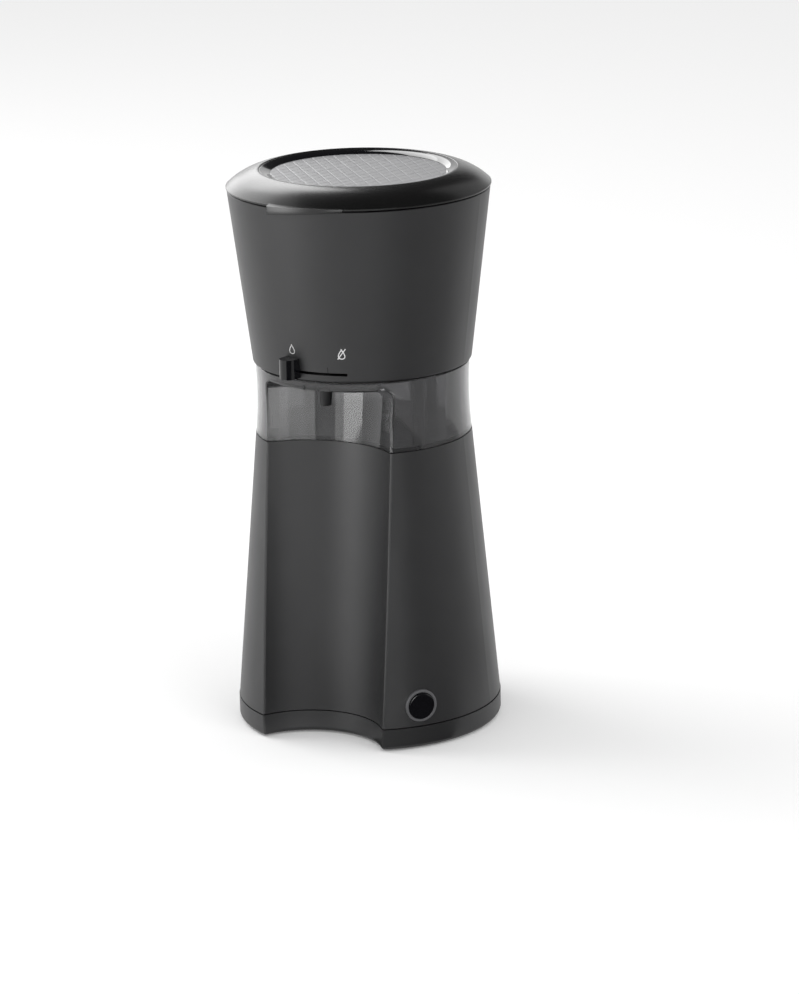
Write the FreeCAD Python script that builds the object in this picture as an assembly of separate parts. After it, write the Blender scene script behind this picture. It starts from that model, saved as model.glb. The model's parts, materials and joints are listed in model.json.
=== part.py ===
import FreeCAD, Part
import math
import os
from FreeCAD import Vector

# Single-serve iced coffee maker, in millimetres.
# Origin: centre of the round base on the counter. +Z is up and the front, with the cup bay, faces -Y.
# An azimuth here is an angle from the front (-Y) towards the machine's right (+X).
# Water tank at the waist, heater in the column, brew chamber in the head, hinged lid on top.

# Overall outline
FLOOR_GAP = 1.0
PLINTH_R = 75.4
PLINTH_H = 12.0
SEAM = 0.6
COLUMN_STEP = 0.3
COLUMN_H = 155.4
COLUMN_TOP_R = 61.2
TANK_BAND_H = 41.4
TANK_STEP = 0.1
TANK_WAIST_IN = 1.3
TANK_TOP_STEP = 1.2
HEAD_STEP = 0.5
HEAD_H = 98.0
HEAD_TOP_R = 73.7
LID_GAP = 0.7
LID_OVERHANG = 0.5
LID_H = 10.8
LID_CREST_IN = 18.4
BEVEL_W = 6.6
BEVEL_DROP = 2.5

PLINTH_TOP_Z = FLOOR_GAP + PLINTH_H
COLUMN_BOTTOM_Z = PLINTH_TOP_Z + SEAM
COLUMN_BOTTOM_R = PLINTH_R - COLUMN_STEP
COLUMN_TOP_Z = COLUMN_BOTTOM_Z + COLUMN_H
TANK_BOTTOM_R = COLUMN_TOP_R - TANK_STEP
TANK_WAIST_R = COLUMN_TOP_R - TANK_WAIST_IN
TANK_WAIST_Z = COLUMN_TOP_Z + TANK_BAND_H / 2
HEAD_BOTTOM_Z = COLUMN_TOP_Z + TANK_BAND_H
HEAD_BOTTOM_R = COLUMN_TOP_R + HEAD_STEP
TANK_TOP_R = HEAD_BOTTOM_R - TANK_TOP_STEP
HEAD_TOP_Z = HEAD_BOTTOM_Z + HEAD_H
LID_RIM_R = HEAD_TOP_R + LID_OVERHANG
LID_CREST_R = LID_RIM_R - LID_CREST_IN
LID_CREST_Z = HEAD_TOP_Z + LID_H
LID_DISC_R = LID_CREST_R - BEVEL_W
LID_DISC_Z = LID_CREST_Z - BEVEL_DROP

# Walls
PLINTH_WALL = 2.2
PLINTH_LIP_H = 1.6
PLINTH_LIP_GAP = 0.3
PLINTH_EDGE_R = 2.4
COLUMN_WALL = 2.4
TANK_WALL = 2.2
TANK_EDGE = 0.5
TANK_SEAM_H = 0.6
TANK_SEAM_IN = 1.0
HEAD_WALL = 2.2
HEAD_EDGE_R = 1.2
HEAD_LIP_EDGE = 0.3
LINER_WALL = 1.8
BASKET_WALL = 1.6
LID_WALL = 2.0

# Cup bay: an upright cone cut out of the front, from the counter to the ceiling
BAY_DEPTH = 27.9
BAY_R_AT_WAIST = 55.1
BAY_FLARE = 11.8
BAY_CEILING_DROP = 6.0
BAY_CORNER_R = 4.5
BAY_EDGE_ROUND = 1.2
BAY_R_AT_SEAM = BAY_R_AT_WAIST - BAY_FLARE
BAY_Y = -(COLUMN_TOP_R - BAY_DEPTH + BAY_R_AT_WAIST)
BAY_CEILING_Z = HEAD_BOTTOM_Z - BAY_CEILING_DROP

# Feet, screws and the plinth floor
FLOOR_T = 2.2
FOOT_R = 8.0
FOOT_T = 2.0
FOOT_EDGE_H = 1.0
FOOT_EDGE_IN = 0.8
FOOT_INSET = 13.9
FOOT_AZ = (-52.0, 52.0, -135.0, 135.0)
SCREW_R = 1.5
SCREW_HEAD_R = 3.2
SCREW_HEAD_T = 1.1
SCREW_RECESS = 0.45
BASE_SCREW_INSET = 11.4
BASE_SCREW_AZ = (-88.0, 88.0, -160.0, 160.0)
BASE_SCREW_L = 17.0
BASE_BOSS_R = 4.0
BASE_BOSS_H = 20.4
BASE_RIB_T = 2.0
BASE_RIB_H = 16.0
BASE_RIB_INTO_WALL = 1.0
FOOT_CIRCLE_R = PLINTH_R - FOOT_INSET
BASE_SCREW_CIRCLE_R = PLINTH_R - BASE_SCREW_INSET
BASE_BOSS_TOP_Z = COLUMN_BOTTOM_Z + BASE_BOSS_H

# Tie screws that clamp column, tank and head together, in dry pillars through the tank
TIE_INSET = 7.9
TIE_AZ = (-60.0, 60.0, -120.0, 120.0)
TIE_R = 2.0
TIE_HEAD_R = 3.8
TIE_HEAD_T = 2.8
TIE_REACH = 7.0
TIE_BOSS_R = 4.2
TIE_BOSS_COVER = 1.0
TIE_HOLE_GAP = 0.2
PILLAR_WALL = 2.0
PILLAR_GAP = 0.6
TIE_CIRCLE_R = TANK_WAIST_R - TIE_INSET
TIE_TIP_Z = HEAD_BOTTOM_Z + TIE_REACH
PILLAR_BORE_R = TIE_R + PILLAR_GAP
PILLAR_R = PILLAR_BORE_R + PILLAR_WALL

# Tank, water lines
TANK_FLOOR_T = 2.2
TANK_ROOF_T = 2.0
GASKET_T = 0.9
GASKET_RECESS = 0.9
GASKET_INSET = 0.2
LINE_X = 18.0
LINE_INSET = 12.4
HOSE_BORE_R = 4.0
HOSE_WALL = 1.75
HOSE_HOLE_GAP = 0.55
SLEEVE_WALL = 1.5
NIPPLE_BORE_R = 2.6
NIPPLE_L = 17.0
NIPPLE_GAP = 0.4
HOSE_UNDER_TANK = 1.1
LINE_Y = TANK_WAIST_R - LINE_INSET
HOSE_R = HOSE_BORE_R + HOSE_WALL
HOSE_HOLE_R = HOSE_R + HOSE_HOLE_GAP
SLEEVE_R = HOSE_HOLE_R + SLEEVE_WALL
NIPPLE_BOTTOM_Z = COLUMN_TOP_Z - NIPPLE_L

# Head floor and the drip stop
HEAD_FLOOR_T = 2.5
HUB_R = 14.0
HUB_BORE_R = 8.0
SHUTTER_LIFT = 5.2
SHUTTER_T = 2.0
SHUTTER_RUN = 0.1
SHUTTER_RING_W = 5.0
SHUTTER_SPOKE_W = 5.0
SHUTTER_SPOKE_LAP = 2.0
SHUTTER_SPOKE_AZ = 4.0
SHUTTER_IN = 9.3
SHUTTER_OUT = 6.7
SHUTTER_OVERLAP_AZ = 9.5
HUB_RUN = 0.05
SPOUT_INSET = 11.4
SPOUT_DROP = 9.9
SPOUT_R = 3.9
SPOUT_TIP_R = 3.15
SPOUT_BORE_R = 2.2
SPOUT_FLANGE_R = 9.5
SPOUT_FLANGE_T = 1.4
SPOUT_SEAT_R = 6.6
SPOUT_MOUTH_R = 3.6
SPOUT_MOUTH_H = 0.6
SPOUT_HOLE_GAP = 0.3
GATE_SEAL_T = 1.0
GATE_SEAL_INSET = 0.4
SLOT_H = 1.6
SLOT_END_AZ = 3.1
ARM_T = 1.0
ARM_W = 4.4
ARM_DROP = 1.0
ARM_STEP_GAP = 0.3
ARM_STEP_W = 1.4
ARM_LAP = 3.0
KNOB_AZ = -13.5
KNOB_W = 10.4
KNOB_BELOW = 3.1
KNOB_ABOVE = 7.5
KNOB_OUT = 10.3
KNOB_GAP = 0.35
KNOB_EDGE = 0.8
SHUTTER_Z = HEAD_BOTTOM_Z + SHUTTER_LIFT
SPOUT_Y = -(HEAD_BOTTOM_R - SPOUT_INSET)
SPOUT_BOTTOM_Z = BAY_CEILING_Z - SPOUT_DROP
SPOUT_SEAT_Z = SHUTTER_Z - SHUTTER_RUN - GATE_SEAL_T
SPOUT_HOLE_R = SPOUT_R + SPOUT_HOLE_GAP
SHUTTER_GATE_R0 = -SPOUT_Y - SHUTTER_IN
SHUTTER_GATE_R1 = -SPOUT_Y + SHUTTER_OUT
ARM_Z = SHUTTER_Z - ARM_DROP
SLOT_Z0 = ARM_Z + ARM_T / 2 - SLOT_H / 2
SLOT_Z1 = SLOT_Z0 + SLOT_H
SLOT_AZ = -KNOB_AZ + SLOT_END_AZ
KNOB_TRAVEL = -2 * KNOB_AZ
KNOB_Z0 = SLOT_Z0 - KNOB_BELOW
KNOB_Z1 = SLOT_Z1 + KNOB_ABOVE
KNOB_R = HEAD_BOTTOM_R + KNOB_OUT

# Brew chamber liner, basket and filter
LINER_GAP = 0.5
LINER_LIFT = 1.0
LINER_FLOOR_T = 2.0
LINER_FLANGE_DROP = 2.0
LINER_FLANGE_T = 1.6
FLANGE_W = 1.1
FLANGE_RUN = 0.1
NECK_BORE_R = 6.3
NECK_WALL = 1.7
NECK_DROP = 0.6
THROAT_SHIFT = 2.5
THROAT_BORE_R = 6.4
THROAT_WALL = 1.4
THROAT_DROP = 10.6
THROAT_HOLE_GAP = 0.3
BASKET_TOP_DROP = 11.4
BASKET_TOP_Y = -7.0
BASKET_TOP_GAP = 0.3
BASKET_BOTTOM_LIFT = 4.8
BASKET_BOTTOM_Y = -9.0
BASKET_BOTTOM_GAP = 1.4
BASKET_LIP_W = 0.7
BASKET_LIP_T = 1.8
BASKET_SLOPE = 4.0
BASKET_RIB_T = 2.0
BASKET_RIB_L = 24.5
RING_SEAL_W = 0.9
RING_SEAL_LIFT = 0.6
RING_SEAL_T = 1.6
SPIGOT_WALL = 1.3
SPIGOT_SHORT = 0.2
REST_W = 3.0
REST_H = 16.0
REST_AZ = (-75.0, 75.0, -138.0, 138.0)
REST_GAP = 0.2
FILTER_TOP_RISE = 1.5
FILTER_SEAT_H = 14.5
FILTER_GAP = 0.4
FILTER_TAPER = 17.8
FILTER_WALL = 1.6
FILTER_BAND_H = 12.0
FILTER_BASE_H = 4.5
FILTER_BASE_W = 6.0
FILTER_RIB_W = 12.0
FILTER_RIBS = 6
FILTER_LIP_W = 0.3
FILTER_LIP_T = 1.2
MESH_T = 0.4
MESH_LAP = 2.0
BAIL_W = 3.2
BAIL_T = 2.0
BAIL_LIFT = 0.2
BAIL_INSET = 0.6
BAIL_EYE_DROP = 4.0
BAIL_EYE_T = 1.8
BAIL_EYE_W = 5.0
BAIL_EYE_GAP = 0.3
BAIL_PIN_R = 1.0
BAIL_PIN_GAP = 0.1
LINER_FLOOR_Z = SHUTTER_Z + SHUTTER_T + LINER_LIFT
LINER_FLANGE_Z = HEAD_TOP_Z - LINER_FLANGE_DROP
NECK_R = NECK_BORE_R + NECK_WALL
NECK_BOTTOM_Z = LINER_FLOOR_Z - NECK_DROP
THROAT_Y = LINE_Y - THROAT_SHIFT
THROAT_R = THROAT_BORE_R + THROAT_WALL
THROAT_BOTTOM_Z = LINER_FLOOR_Z - THROAT_DROP
BASKET_TOP_Z = HEAD_TOP_Z - BASKET_TOP_DROP
BASKET_BOTTOM_Z = LINER_FLOOR_Z + BASKET_BOTTOM_LIFT
SPIGOT_R = NECK_BORE_R - RING_SEAL_W
SPIGOT_BORE_R = SPIGOT_R - SPIGOT_WALL
SPIGOT_BOTTOM_Z = NECK_BOTTOM_Z + SPIGOT_SHORT
RING_SEAL_Z = LINER_FLOOR_Z + RING_SEAL_LIFT
FILTER_TOP_Z = BASKET_TOP_Z + FILTER_TOP_RISE
FILTER_BOTTOM_Z = BASKET_BOTTOM_Z + FILTER_SEAT_H

# Riser to the shower head in the lid
PIPE_R = 4.6
PIPE_BORE_R = 2.8
PIPE_FOOT_H = 8.8
PIPE_TOP_DROP = 6.4
PIPE_CUP_R = 6.4
PIPE_CUP_H = 3.0
PIPE_CUP_GAP = 2.0
BARB_DEPTH = 11.0
HOSE_TOP_DROP = 3.2
GROMMET_WALL = 2.3
GROMMET_LIP = 1.1
GROMMET_PROUD = 1.0
PORT_SEAL_T = 1.8
PORT_SEAL_R = 6.0
PORT_SEAL_RUN = 0.05
PORT_BORE_R = 3.0
CHANNEL_W = 13.0
CHANNEL_WALL = 1.5
CHANNEL_LAP = 6.0
CHANNEL_MOUTH = 14.0
SHOWER_R = 33.0
SHOWER_H = 7.1
SHOWER_T = 1.6
SHOWER_EDGE_W = 3.0
SHOWER_EDGE_H = 2.0
SHOWER_GATE_GAP = 0.1
SHOWER_HOLE_R = 1.2
SHOWER_RING_STEP = 11.0
SHOWER_RING_COUNT = 3
PIPE_BEND_Z = LINER_FLOOR_Z + PIPE_FOOT_H
PIPE_TOP_Z = HEAD_TOP_Z - PIPE_TOP_DROP
HOSE_TOP_Z = LINER_FLOOR_Z - HOSE_TOP_DROP
GROMMET_R = PIPE_R + GROMMET_WALL

# Lid
LID_PLATE_T = 1.8
LID_PLATE_GAP = 0.3
LID_RECESS_LIP = 0.6
LID_RECESS_DROP = 4.0
LID_RECESS_EDGE = 0.2
LID_FLOOR_T = 1.8
LID_SHOULDER_IN = 7.0
LID_SHOULDER_DROP = 3.9
LID_RIM_H = 1.7
LID_EDGE = 0.3
BEVEL_EDGE = 0.3
BEVEL_STEP = 0.2
BEVEL_FLAT = 0.8
SKIRT_IN = 9.2
SKIRT_T = 1.6
SKIRT_H = 4.0
SKIRT_LAP = 0.5
TAB_AZ = 17.5
TAB_TURN = 2.6
TAB_DROP = 3.4
TAB_LIFT = 4.5
TAB_RISE = 0.8
TAB_SLOPE = 30.0
TAB_SHIFT = 3.4
TAB_LEAN = 53.0
TAB_END_OUT = 0.3
TAB_GAP = 0.4
LID_RECESS_R = LID_CREST_R - LID_RECESS_LIP
LID_RECESS_Z = LID_CREST_Z - LID_RECESS_DROP
LID_SHOULDER_R = LID_RIM_R - LID_SHOULDER_IN
LID_SHOULDER_Z = LID_CREST_Z - LID_SHOULDER_DROP
LID_RIM_Z = HEAD_TOP_Z + LID_RIM_H
SKIRT_R = HEAD_TOP_R - SKIRT_IN
TAB_DROP_Z = HEAD_TOP_Z - TAB_DROP
TAB_TOP_Z = LID_RIM_Z + TAB_RISE

# Lid hinge at the rear
HINGE_OUT = 0.3
HINGE_DROP = 1.4
HINGE_R = 3.8
HINGE_PIN_R = 1.5
HINGE_PIN_RUN = 0.05
HINGE_GAP = 0.35
KNUCKLE_HALF_W = 8.7
KNUCKLE_WEB = 3.0
EAR_W = 6.0
EAR_ROOT_DROP = 11.5
EAR_ROOT_IN = 1.2
HINGE_Y = HEAD_TOP_R + HINGE_OUT
HINGE_Z = HEAD_TOP_Z - HINGE_DROP
EAR_ROOT_Z = HINGE_Z - EAR_ROOT_DROP

# Heater and valve
HEATER_LIFT = 23.0
HEATER_LEG = 24.0
HEATER_TUBE_R = 5.6
HEATER_BORE_R = 2.8
HEATER_WEB_T = 3.0
HEATER_NIPPLE_L = 12.0
ELEMENT_R = 4.4
ELEMENT_DROP = 9.6
ELEMENT_PIN_R = 1.4
ELEMENT_PIN_L = 9.0
HOSE_RUN = 11.5
HOSE_BEND_R = 12.0
HOSE_END_GAP = 2.0
STRAP_T = 1.5
STRAP_AT = 2.0
STRAP_W = 12.0
STRAP_REACH = 5.0
STRAP_GAP = 0.3
STRAP_POST_R = 4.0
STRAP_POST_X = 7.0
STRAP_SCREW_L = 9.0
STRAP_SCREW_HEAD_T = 2.0
STRAP_HOLE_GAP = 0.2
VALVE_DROP = 53.0
VALVE_H = 20.0
VALVE_R = 8.5
VALVE_EDGE = 1.5
VALVE_NIPPLE_L = 9.0
CLAMP_T = 0.9
CLAMP_W = 6.0
CLAMP_INSET = 2.0
THERMOSTAT_R = 8.0
THERMOSTAT_H = 6.0
THERMOSTAT_CAP_IN = 2.0
THERMOSTAT_CAP_H = 2.5
THERMOSTAT_TAB_REACH = 3.0
THERMOSTAT_TAB_W = 5.0
THERMOSTAT_TAB_Z = 1.0
THERMOSTAT_TAB_T = 0.8
FUSE_R = 2.2
FUSE_L = 12.0
FUSE_LEAD_R = 0.6
FUSE_LEAD_L = 6.0
SENSOR_AT = 8.0
HEATER_Z = PLINTH_TOP_Z + HEATER_LIFT
HEATER_Y = LINE_Y - HOSE_BEND_R - HOSE_RUN - HEATER_LEG
STRAP_Y0 = HEATER_Y + STRAP_AT
STRAP_Y1 = STRAP_Y0 + STRAP_W
STRAP_Z = HEATER_Z - ELEMENT_DROP - ELEMENT_R
SENSOR_Y = HEATER_Y + SENSOR_AT
VALVE_Z1 = COLUMN_TOP_Z - VALVE_DROP
VALVE_Z0 = VALVE_Z1 - VALVE_H

# Power button, low on the right of the front
BUTTON_AZ = 47.0
BUTTON_LIFT = 12.0
BUTTON_R = 7.5
BUTTON_GAP = 0.25
BUTTON_TRAVEL = 1.5
BUTTON_PROUD = 1.4
BUTTON_L = 8.0
BUTTON_EDGE_R = 0.8
BUTTON_WALL = 1.6
BUTTON_FACE_T = 1.8
BUTTON_SOCKET_WALL = 1.2
BUTTON_SOCKET_SHORT = 1.0
LIGHT_RING_W = 1.6
LIGHT_RING_PROUD = 0.6
LIGHT_RING_L = 7.0
LIGHT_RING_EDGE_R = 0.5
PLUNGER_R = 1.6
PLUNGER_GAP = 0.1
PLUNGER_IN_CAP = 4.0
PLUNGER_IN_SWITCH = 4.0
SWITCH_SIDE = 12.0
SWITCH_L = 8.0
SWITCH_CLEAR = 1.2
SWITCH_SPARE = 0.5
BOARD_T = 1.6
BOARD_SIDE0 = -12.0
BOARD_SIDE1 = 32.0
BOARD_LIFT = 2.0
BOARD_H = 34.0
BOARD_GROOVE = 0.1
GUIDE_W = 5.0
GUIDE_T = 1.8
GUIDE_H = 16.0
LED_R = 1.5
LED_L = 6.0
LED_SIDE = 2.0
RELAY_W = 14.0
RELAY_D = 11.0
RELAY_SIDE = 2.0
CAPACITOR_R = 4.0
CAPACITOR_L = 9.0
CAPACITOR_INSET = 7.0
CAPACITOR_DROP = 9.0
BUTTON_Z = PLINTH_TOP_Z + BUTTON_LIFT

# Cable entry at the rear
GLAND_LIFT = 12.0
GLAND_PAD_R = 9.6
GLAND_PAD_DEPTH = 6.0
GLAND_CHEEK = 1.2
GLAND_R = 6.0
GLAND_FLANGE_R = 8.5
GLAND_FLANGE_T = 1.8
GLAND_EDGE_R = 0.9
GLAND_BORE_R = 3.5
GLAND_INSIDE_L = 2.5
GLAND_LIP = 0.8
GLAND_Z = PLINTH_TOP_Z + GLAND_LIFT
GLAND_PAD_Y = COLUMN_BOTTOM_R

# Extra length on cutting tools, so that they pass right through; closeness when edges are picked, and the
# share of a piece's height that its upright edges span
OVER = 2.0
FIT = 0.01
UPRIGHT_SHARE = 0.6


def spot(radius, azimuth, z):
    """Point at a radius and an azimuth from the front towards +X."""
    a = math.radians(azimuth)
    return Vector(radius * math.sin(a), -radius * math.cos(a), z)


def rod(radius, z0, z1, x=0.0, y=0.0):
    return Part.makeCylinder(radius, z1 - z0, Vector(x, y, z0))


def tube(radius, bore, z0, z1, x=0.0, y=0.0):
    return rod(radius, z0, z1, x, y).cut(rod(bore, z0 - OVER, z1 + OVER, x, y))


def cone(r0, z0, r1, z1, x=0.0, y=0.0):
    if abs(r0 - r1) < 1e-6:
        return rod(r0, z0, z1, x, y)
    return Part.makeCone(r0, r1, z1 - z0, Vector(x, y, z0))


def rod_along(start, direction, radius, length):
    return Part.makeCylinder(radius, length, start, direction)


def slab(x0, x1, y0, y1, z0, z1):
    return Part.makeBox(x1 - x0, y1 - y0, z1 - z0, Vector(x0, y0, z0))


def ring_sector(r0, r1, z0, z1, az0, az1):
    """Part of a flat ring between two azimuths."""
    axis = Vector(0, 0, 1)
    base = Vector(0, 0, z0)
    outer = Part.makeCylinder(r1, z1 - z0, base, axis, az1 - az0)
    outer.rotate(Vector(0, 0, 0), axis, az0 - 90.0)
    return outer.cut(rod(r0, z0 - OVER, z1 + OVER))


def turned(points):
    """Solid of revolution about Z from a closed outline of (radius, z) corners."""
    corners = [Vector(r, 0, z) for r, z in points]
    face = Part.Face(Part.makePolygon(corners + corners[:1]))
    return face.revolve(Vector(0, 0, 0), Vector(0, 0, 1), 360)


def prism_x(points, x0, x1):
    """Outline of (y, z) corners, made x0 to x1 thick."""
    corners = [Vector(x0, y, z) for y, z in points]
    face = Part.Face(Part.makePolygon(corners + corners[:1]))
    return face.extrude(Vector(x1 - x0, 0, 0))


def facing(shape, azimuth, z):
    """Place a piece made along +X from the axis so that it points at an azimuth, at height z."""
    moved = shape.copy()
    moved.rotate(Vector(0, 0, 0), Vector(0, 0, 1), azimuth - 90.0)
    moved.translate(Vector(0, 0, z))
    return moved


def fuse_all(shapes):
    whole = shapes[0].fuse(shapes[1:]) if len(shapes) > 1 else shapes[0]
    return whole.removeSplitter()


def group(solids):
    """Separate like pieces kept together."""
    return Part.makeCompound(solids)


def between(z, z0, v0, z1, v1):
    """Straight-line value at z."""
    return v0 + (v1 - v0) * (z - z0) / (z1 - z0)


def column_r(z):
    return between(z, COLUMN_BOTTOM_Z, COLUMN_BOTTOM_R, COLUMN_TOP_Z, COLUMN_TOP_R)


def head_r(z):
    return between(z, HEAD_BOTTOM_Z, HEAD_BOTTOM_R, HEAD_TOP_Z, HEAD_TOP_R)


def liner_r(z):
    return head_r(z) - HEAD_WALL - LINER_GAP


def liner_bore_r(z):
    return liner_r(z) - LINER_WALL


def basket_top_r():
    """The basket's lip just clears the liner at the front."""
    return liner_bore_r(BASKET_TOP_Z - BASKET_LIP_T) + BASKET_TOP_Y - BASKET_TOP_GAP - BASKET_LIP_W


def basket_bottom_r():
    return liner_bore_r(BASKET_BOTTOM_Z) + BASKET_BOTTOM_Y - BASKET_BOTTOM_GAP


def basket_r(z):
    return between(z, BASKET_BOTTOM_Z, basket_bottom_r(), BASKET_TOP_Z, basket_top_r())


def basket_y(z):
    return between(z, BASKET_BOTTOM_Z, BASKET_BOTTOM_Y, BASKET_TOP_Z, BASKET_TOP_Y)


def filter_top_r():
    return basket_top_r() - BASKET_WALL - FILTER_GAP - FILTER_LIP_W


def filter_r(z):
    top = filter_top_r()
    return between(z, FILTER_BOTTOM_Z, top - FILTER_TAPER, FILTER_TOP_Z, top)


def bay_r(z):
    return between(z, COLUMN_BOTTOM_Z, BAY_R_AT_SEAM, COLUMN_TOP_Z, BAY_R_AT_WAIST)


def bay(grow, z0, z1):
    """The cup bay, grown by a wall, between two heights."""
    return cone(bay_r(z0) + grow, z0, bay_r(z1) + grow, z1, 0.0, BAY_Y)


def bay_with_ceiling(grow, z0, ceiling, corner):
    """The bay with its rounded ceiling corner."""
    solid = bay(grow, z0, ceiling)
    rim = [e for e in solid.Edges if abs(e.BoundBox.ZMin - ceiling) < FIT and e.BoundBox.ZLength < FIT]
    return solid.makeFillet(corner, rim)


def rim_at(solid, z):
    """Round level edge at a height."""
    return [e for e in solid.Edges if e.Closed and abs(e.BoundBox.ZMax - z) < FIT and e.BoundBox.ZLength < FIT]


def round_bay_edges(solid, z0, z1, outer_radius, radius):
    """Soften the two upright edges where the bay meets the outside."""
    edges = []
    for edge in solid.Edges:
        box = edge.BoundBox
        middle = edge.valueAt((edge.FirstParameter + edge.LastParameter) / 2)
        tall = box.ZLength > UPRIGHT_SHARE * (z1 - z0)
        outside = abs(math.hypot(middle.x, middle.y) - outer_radius(middle.z)) < FIT
        if tall and outside and middle.y < -BAY_DEPTH:
            edges.append(edge)
    return solid.makeFillet(radius, edges)


def tank_outline(inset, z0, z1):
    """Waisted body of the tank, inset by its wall."""
    low = Vector(TANK_BOTTOM_R - inset, 0, z0)
    waist = Vector(TANK_WAIST_R - inset, 0, TANK_WAIST_Z)
    high = Vector(TANK_TOP_R - inset, 0, z1)
    side = Part.Arc(low, waist, high).toShape()
    edges = [
        Part.makeLine(Vector(0, 0, z0), low),
        side,
        Part.makeLine(high, Vector(0, 0, z1)),
        Part.makeLine(Vector(0, 0, z1), Vector(0, 0, z0)),
    ]
    face = Part.Face(Part.Wire(edges))
    return face.revolve(Vector(0, 0, 0), Vector(0, 0, 1), 360)


def tank_r(z):
    """Outer radius of the tank, on the circle through its foot, waist and top."""
    low = Vector(TANK_BOTTOM_R, 0, COLUMN_TOP_Z)
    waist = Vector(TANK_WAIST_R, 0, TANK_WAIST_Z)
    circle = Part.Arc(low, waist, Vector(TANK_TOP_R, 0, HEAD_BOTTOM_Z - GASKET_T)).toShape().Curve
    return circle.Center.x - math.sqrt(circle.Radius ** 2 - (z - circle.Center.z) ** 2)


def make_base_plinth():
    bottom = FLOOR_GAP
    outside = rod(PLINTH_R, bottom, PLINTH_TOP_Z).cut(bay(0.0, -OVER, PLINTH_TOP_Z + OVER))
    outside = round_bay_edges(outside, bottom, PLINTH_TOP_Z, lambda z: PLINTH_R, BAY_EDGE_ROUND)
    ground = [e for e in outside.Edges if e.BoundBox.ZMax < bottom + FIT]
    outside = outside.makeFillet(min(PLINTH_EDGE_R, FLOOR_T + PLINTH_WALL), ground)
    inside = rod(PLINTH_R - PLINTH_WALL, bottom + FLOOR_T, PLINTH_TOP_Z + OVER)
    inside = inside.cut(bay(PLINTH_WALL, -OVER, PLINTH_TOP_Z + 2 * OVER))
    body = outside.cut(inside)
    lip_r = column_r(PLINTH_TOP_Z + PLINTH_LIP_H) - COLUMN_WALL - PLINTH_LIP_GAP
    lip = tube(lip_r, lip_r - PLINTH_WALL, bottom + FLOOR_T, PLINTH_TOP_Z + PLINTH_LIP_H)
    lip = lip.cut(bay(COLUMN_WALL + PLINTH_LIP_GAP, -OVER, PLINTH_TOP_Z + 4 * OVER))
    body = body.fuse(lip)
    for azimuth in FOOT_AZ:
        p = spot(FOOT_CIRCLE_R, azimuth, 0)
        body = body.cut(rod(FOOT_R, 0, FOOT_T, p.x, p.y))
    for azimuth in BASE_SCREW_AZ:
        p = spot(BASE_SCREW_CIRCLE_R, azimuth, 0)
        pad = rod(BASE_BOSS_R, bottom, bottom + FLOOR_T, p.x, p.y)
        body = body.fuse(pad)
        body = body.cut(rod(SCREW_HEAD_R, 0, bottom + SCREW_HEAD_T, p.x, p.y))
        body = body.cut(rod(SCREW_R, 0, PLINTH_TOP_Z, p.x, p.y))
        room = rod(BASE_BOSS_R + PLINTH_LIP_GAP, bottom + FLOOR_T, PLINTH_TOP_Z + 2 * OVER, p.x, p.y)
        body = body.cut(room)
    strap_bottom = STRAP_Z - STRAP_T
    middle_y = (STRAP_Y0 + STRAP_Y1) / 2
    for x in (-STRAP_POST_X, STRAP_POST_X):
        post = rod(STRAP_POST_R, bottom + FLOOR_T, strap_bottom, x, middle_y)
        body = body.fuse(post)
        body = body.cut(rod(SCREW_R, strap_bottom - STRAP_SCREW_L, strap_bottom + OVER, x, middle_y))
    body = body.fuse(board_guides())
    return body.removeSplitter()


def board_guides():
    """Two grooved posts on the plinth floor that hold the control board upright."""
    guides = []
    face = board_face_r()
    z0 = FLOOR_GAP + FLOOR_T
    for middle in (BOARD_SIDE0, BOARD_SIDE1):
        post = slab(face - BOARD_T - GUIDE_T, face + GUIDE_T, middle - GUIDE_W / 2, middle + GUIDE_W / 2,
                    z0, z0 + GUIDE_H)
        groove = slab(
            face - BOARD_T - BOARD_GROOVE, face + BOARD_GROOVE,
            BOARD_SIDE0 - BOARD_GROOVE, BOARD_SIDE1 + BOARD_GROOVE,
            z0 + BOARD_LIFT, z0 + GUIDE_H + OVER,
        )
        guides.append(facing(post.cut(groove), BUTTON_AZ, 0.0))
    return guides


def make_rubber_feet():
    feet = []
    for azimuth in FOOT_AZ:
        p = spot(FOOT_CIRCLE_R, azimuth, 0)
        tread = cone(FOOT_R - FOOT_EDGE_IN, 0, FOOT_R, FOOT_EDGE_H, p.x, p.y)
        feet.append(fuse_all([tread, rod(FOOT_R, FOOT_EDGE_H, FOOT_T, p.x, p.y)]))
    return group(feet)


def screw(x, y, head_z, head_r, head_t, shank_r, tip_z):
    """Screw with its head below and its tip above."""
    head = rod(head_r, head_z, head_z + head_t, x, y)
    recess = rod(head_r * SCREW_RECESS, head_z - OVER, head_z + head_t * SCREW_RECESS, x, y)
    shank = rod(shank_r, head_z + head_t, tip_z, x, y)
    return head.cut(recess).fuse(shank).removeSplitter()


def make_base_screws():
    screws = []
    for azimuth in BASE_SCREW_AZ:
        p = spot(BASE_SCREW_CIRCLE_R, azimuth, 0)
        screws.append(screw(p.x, p.y, FLOOR_GAP, SCREW_HEAD_R, SCREW_HEAD_T, SCREW_R, FLOOR_GAP + BASE_SCREW_L))
    return group(screws)


def make_tie_screws():
    seat = COLUMN_TOP_Z - COLUMN_WALL
    screws = []
    for azimuth in TIE_AZ:
        p = spot(TIE_CIRCLE_R, azimuth, 0)
        screws.append(screw(p.x, p.y, seat - TIE_HEAD_T, TIE_HEAD_R, TIE_HEAD_T, TIE_R, TIE_TIP_Z))
    return group(screws)


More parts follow.
